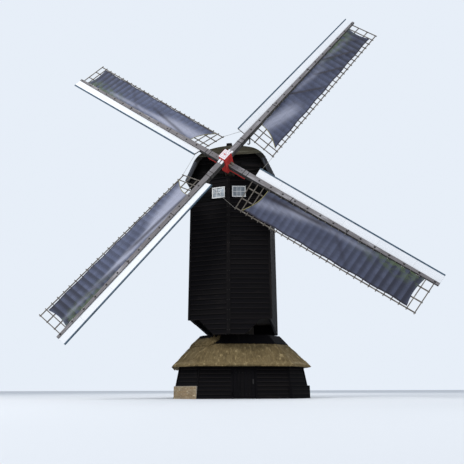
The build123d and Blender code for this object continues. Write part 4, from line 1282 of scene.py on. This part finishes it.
def iron_bands():
    """Iron bands round the stocks, at their steps and further out."""
    bands = []
    for here in ARM_FRAMES.values():
        for r in (1.16, 1.42, 4.2, 7.4):
            w, d = stock_width(r) / 2 + 0.001, stock_depth(r) / 2 + 0.008
            for (y0, z0), (y1, z1) in (((-w - 0.006, d), (w + 0.006, d + 0.006)),
                                       ((-w - 0.006, -d), (w + 0.006, -d + 0.0075)),
                                       ((-w - 0.006, -d), (-w, d + 0.006)),
                                       ((w, -d), (w + 0.006, d + 0.006))):
                bands.append(block((r - 0.02, y0, z0), (r + 0.02, y1, z1), 0.001))
                bands[-1].matrix_world = here
    finished(joined(bands), "stock_bands", IRON, "rotor", "weathered_stock")


# Materials

def tar(name, along, lap=0.0):
    return weathered_timber(name, (0.0012, 0.0010, 0.0015), (0.0050, 0.0042, 0.0054), (0.0100, 0.0080, 0.0074),
                            0.3, 0.85, None, along, 0.0025, 0.3, 0.08, lap)


def oak(name, along, turn=0):
    return weathered_timber(name, (0.016, 0.012, 0.009), (0.055, 0.042, 0.031), (0.080, 0.066, 0.052),
                            0.4, 0.8, (0, 0, math.radians(turn)), along, 0.004)


def plain(name, dark, light, roughness, scale, depth, metallic=0.0):
    """A finish without grain: iron, paint, stone, mortar or rope."""
    finish = Finish(name, roughness, metallic)
    fine = finish.noise(finish.place(), scale, 6, 0.6)
    broad = finish.noise(finish.place(), scale / 14, 3, 0.5)
    base = finish.mix(finish.ramp(fine, (0.3, dark), (0.7, light)), tuple(c * 0.7 for c in dark),
                      finish.span(broad, 0.48, 0.72))
    finish.bump(fine, depth, 0.8)
    finish.rough(fine, max(0.05, roughness - 0.12), min(1, roughness + 0.1))
    return finish.colour(base)


def canvas_finish():
    """Tanned canvas gone slate blue: stained, darker and mossy towards the tip, with painted shade where it hangs
    slack and along its folds, and painted highlights along the stock.
    """
    finish = Finish("sail_canvas_weathered", 0.86)
    times, plus, minus, span = finish.times, finish.plus, finish.minus, finish.span
    place = finish.place(attribute="grain")
    r, y = finish.part(place, "X"), finish.part(place, "Y")
    cloud = finish.noise(finish.place((0.55, 1.3, 1), attribute="grain"), 1.0, 5, 0.6)
    blotch = finish.noise(finish.place((2.2, 4.0, 1), attribute="grain"), 1.0, 5, 0.62)
    streak = finish.noise(finish.place((0.9, 9.0, 1), (0, 0, 0.35), "grain"), 1.0, 4, 0.6)
    # Painted shade between the bars, where the cloth hangs slack.
    wave = finish.sum("FRACT", finish.sum("DIVIDE", minus(r, FIRST_BAR - PITCH * 0.15), PITCH))
    slack = times(span(wave, 0.04, 0.20), minus(1.0, span(wave, 0.35, 0.95)))
    # Painted highlights along the stock.
    painted_highlight = times(finish.value("pale"), plus(0.55, times(streak, 0.6)))
    mossy = times(span(r, 7.2, 10.6), span(y, -0.85, -0.15))
    seam = finish.sum("ABSOLUTE", minus(finish.sum("FRACT", finish.sum("DIVIDE", y, 0.48)), 0.5))
    base = finish.ramp(cloud, (0.30, (0.052, 0.061, 0.106)), (0.52, (0.076, 0.089, 0.148)),
                       (0.72, (0.112, 0.127, 0.195)))
    # In this list, the darkening where the cloth hangs slack is painted shade, the pale mix is painted highlight
    # along the stock, and the near-black mix is painted shade along the folds with the darker hem.
    for colour, share in (((0.030, 0.033, 0.048), times(span(blotch, 0.48, 0.78), 0.55)),
                          ((0.024, 0.024, 0.034), times(finish.value("tone"), 0.45)),
                          ((0.034, 0.038, 0.060), times(span(r, 8.0, 11.4), 0.55)),
                          ((0.014, 0.015, 0.026), times(slack, plus(0.35, times(span(r, 6.0, 11.0), 0.5)))),
                          ((0.36, 0.37, 0.45), times(span(painted_highlight, 0.0, 1.1), 0.75)),
                          ((0.085, 0.120, 0.045), times(times(span(blotch, 0.40, 0.60), mossy), 0.68)),
                          ((0.010, 0.007, 0.012), times(finish.value("fold_shade_and_hem"), 0.95)),
                          ((0.03, 0.032, 0.045), times(minus(1.0, span(seam, 0.006, 0.02)), 0.35))):
        base = finish.mix(base, colour, share)
    weave = finish.noise(finish.place((260, 260, 260), attribute="grain"), 1.0, 2, 0.5)
    finish.bump(weave, 0.0006, 0.6)
    finish.bump(streak, 0.010, 0.35)
    finish.shader.inputs["Sheen Weight"].default_value = 0.2
    return finish.colour(base)


TAR, TAR_BASE = tar("tarred_board", 0, BOARD_ROW), tar("tarred_base_board", 0, BASE_ROW)
TAR_UPRIGHT, TAR_LEAN = tar("tarred_upright", 1), tar("tarred_strip", 2)
ROOF = weathered_timber("roof_board", (0.008, 0.007, 0.006), (0.032, 0.028, 0.022), (0.060, 0.056, 0.044),
                        0.5, 0.78)
FASCIA = weathered_timber("fascia_board", (0.020, 0.017, 0.009), (0.062, 0.053, 0.030), (0.105, 0.100, 0.070),
                          0.42, 0.85)
# The verge boards at the roof's lower outer corners are weathered grey and made paler as painted highlight.
FASCIA_GREY_PAINTED_LIGHT = weathered_timber("verge_board", (0.010, 0.010, 0.012), (0.036, 0.038, 0.046), (0.15, 0.165, 0.19),
                               0.42, 0.82, tones=0.3)
# The stock fronts are weathered and made pale against the dark stock sides: painted light on the fronts.
STOCK_FACE_PAINTED_LIGHT = weathered_timber("stock_front", (0.100, 0.090, 0.090), (0.245, 0.228, 0.232), (0.37, 0.355, 0.365),
                              0.42, 0.85, tones=0.25)
LATTICE_OWN = weathered_timber("stay_timber", (0.10, 0.085, 0.065), (0.22, 0.19, 0.15), (0.30, 0.27, 0.22),
                               0.45, 0.85, along=1, depth=0.002)
WHITE = weathered_timber("white_gloss", *WHITE_TONES, 0.12, 0.42, along=1, depth=0.0006, tones=0.05)
WHITE_BOARD = weathered_timber("white_board", (0.66, 0.67, 0.69), (0.76, 0.765, 0.775), (0.56, 0.565, 0.57),
                               0.08, 0.5, depth=0.001, tones=0.05)
PLANKS = weathered_timber("floor_plank", (0.14, 0.10, 0.065), (0.30, 0.225, 0.15), (0.38, 0.31, 0.23), 0.45, 0.72)
REED = weathered_timber("reed", (0.090, 0.062, 0.026), (0.290, 0.208, 0.092), (0.44, 0.335, 0.165),
                        0.4, 0.92, along=1, depth=0.002)
IRON = plain("wrought_iron", (0.022, 0.020, 0.020), (0.055, 0.050, 0.047), 0.6, 60, 0.0008, 0.4)
DARK_IRON = plain("blackened_iron", (0.008, 0.007, 0.007), (0.022, 0.020, 0.019), 0.75, 60, 0.0008)
RAIL_BLUE = plain("rail_paint", (0.030, 0.058, 0.088), (0.055, 0.098, 0.140), 0.5, 30, 0.0005)
RED = plain("red_paint", (0.42, 0.030, 0.028), (0.60, 0.055, 0.048), 0.38, 24, 0.0006)
HEM = plain("hem_rope", (0.20, 0.175, 0.065), (0.38, 0.34, 0.15), 0.9, 90, 0.001)
ROPE_OWN = plain("lace_rope", *HEMP_TONES, 0.9, 120, 0.001)
BRICK = weathered_timber("brick_face", (0.20, 0.125, 0.060), (0.43, 0.315, 0.175), (0.55, 0.46, 0.31),
                         0.5, 0.9, along=2, depth=0.002)
THATCH = weathered_timber("thatch_reed", (0.068, 0.048, 0.020), (0.215, 0.155, 0.068), (0.33, 0.25, 0.125),
                          0.45, 0.94, UNTURNED, 2, 0.010)
CANVAS = canvas_finish()

clothe(weathered_timber("tarred_solid", (0.0014, 0.0012, 0.0018), (0.0056, 0.0047, 0.0060), (0.0100, 0.0080, 0.0074),
                        0.25, 0.85, UNTURNED, 0, 0.0025, shine=0.08),
       "base_front_wall_left", "base_front_wall_right", "base_right_wall", "base_back_wall", "base_left_wall",
       "base_corner_walls", "base_door_frame", "base_door", "left_wall", "right_wall", "rear_wall", "rear_door",
       "front_wall_left", "front_wall_right", "front_shelf", "front_gable", "rear_gable", "roof_collar")
clothe(weathered_timber("cover_board", (0.0022, 0.0018, 0.0022), (0.0078, 0.0066, 0.0068), (0.014, 0.0112, 0.0100),
                        0.35, 0.85, UNTURNED, 2, 0.0025, shine=0.08), "front_cover_boards")
clothe(oak("oak_across", 0), "floor_beams", "weather_beam", "tail_beam", "lower_floor")
clothe(oak("oak_lengthwise", 1), "tail_pole", "crown_tree")
clothe(oak("oak_lower_tree", 0, 32), "lower_cross_tree")
clothe(oak("oak_upper_tree", 0, -58), "upper_cross_tree")
clothe(oak("oak_upright", 2), "main_post", "post_saddle", "quarter_bars")
clothe(plain("pier_mortar", (0.24, 0.21, 0.17), (0.38, 0.34, 0.28), 0.95, 40, 0.004), "brick_piers")
clothe(THATCH, "thatch_roof")
clothe(weathered_timber("roof_solid", (0.008, 0.007, 0.006), (0.030, 0.026, 0.021), (0.055, 0.05, 0.04),
                        0.4, 0.8, UNTURNED, 1), "roof")
clothe(weathered_timber("fascia_solid", (0.006, 0.005, 0.004), (0.018, 0.016, 0.012), (0.050, 0.047, 0.038),
                        0.3, 0.85, UNTURNED), "front_fascia")
clothe(weathered_timber("floor_solid", (0.13, 0.095, 0.06), (0.27, 0.20, 0.135), (0.34, 0.28, 0.2),
                        0.4, 0.75, UNTURNED), "upper_floor")
clothe(weathered_timber("frame_white", *WHITE_TONES, 0.1, 0.42, UNTURNED, 2, 0.0006), "window_frames")
clothe(plain("bluestone", (0.20, 0.205, 0.21), (0.34, 0.345, 0.345), 0.6, 30, 0.001), "neck_bearing")
clothe(weathered_timber("shaft_oak", (0.022, 0.018, 0.015), (0.070, 0.056, 0.045), (0.10, 0.085, 0.07),
                        0.4, 0.55, (-SHAFT_TILT, 0, 0), 1), "windshaft")
clothe(RED, "poll_end", "stock_braces")
# The stock sides are made dark: painted shade, against the pale fronts.
for number, stock in ((1, "outer_stock"), (2, "inner_stock")):
    clothe(weathered_timber(f"stock_side_painted_shade_{number}", (0.018, 0.016, 0.015), (0.060, 0.054, 0.050),
                            (0.11, 0.104, 0.097), 0.4, 0.8, UNTURNED, 2), stock)
clothe(RAIL_BLUE, "leading_boards")
clothe(weathered_timber("lattice_laths", (0.055, 0.045, 0.036), (0.15, 0.13, 0.108), (0.22, 0.20, 0.175),
                        0.45, 0.85, UNTURNED, 2, 0.002), *(f"sail_lattice_{number}" for number in ARM_FRAMES))
clothe(plain("rope_hemp", *HEMP_TONES, 0.9, 120, 0.002), "sail_ropes")
glass = Finish("old_glass", 0.08)
ripple = glass.noise(glass.place(), 7, 2, 0.5)
glass.bump(ripple, 0.001, 0.2)
glass.rough(ripple, 0.04, 0.10)
clothe(glass.colour(glass.ramp(glass.noise(glass.place(), 2.1, 2, 0.5), (0.40, (0.17, 0.19, 0.21)),
                               (0.62, (0.34, 0.38, 0.41)))), "window_glass")

base_boards()
door_dressing()
pier_bricks()
thatch()
reeds()
collar_boards()
body_boards()
roof_boards()
fascia_boards()
window_dressing()
rear_door_dressing()
cover_strips()
floor_boards()
stock_dressing()
board_dressing()
lattice_nails()
sails()
poll_dressing()
stock_hook()
iron_bands()


# Floor, lamps and camera

bpy.ops.mesh.primitive_plane_add(size=260, location=(0, 40, 0))
ground = bpy.context.object
ground.name = "floor"
floor = Finish("studio_floor", 0.9)
patches = floor.noise(floor.place(), 0.05, 2, 0.5)
ground.data.materials.append(floor.colour(floor.ramp(patches, (0.3, (0.70, 0.71, 0.72)), (0.7, (0.73, 0.74, 0.75)))))
set_sky()
set_lamp("key", 9000, 14, (-20, -26, 30))
set_lamp("fill", 2200, 18, (26, -20, 16))
set_lamp("rim", 3000, 16, (4, 28, 26))
set_camera()
scene = bpy.context.scene
scene.view_settings.view_transform = "Standard"
scene.render.resolution_x = scene.render.resolution_y = 928
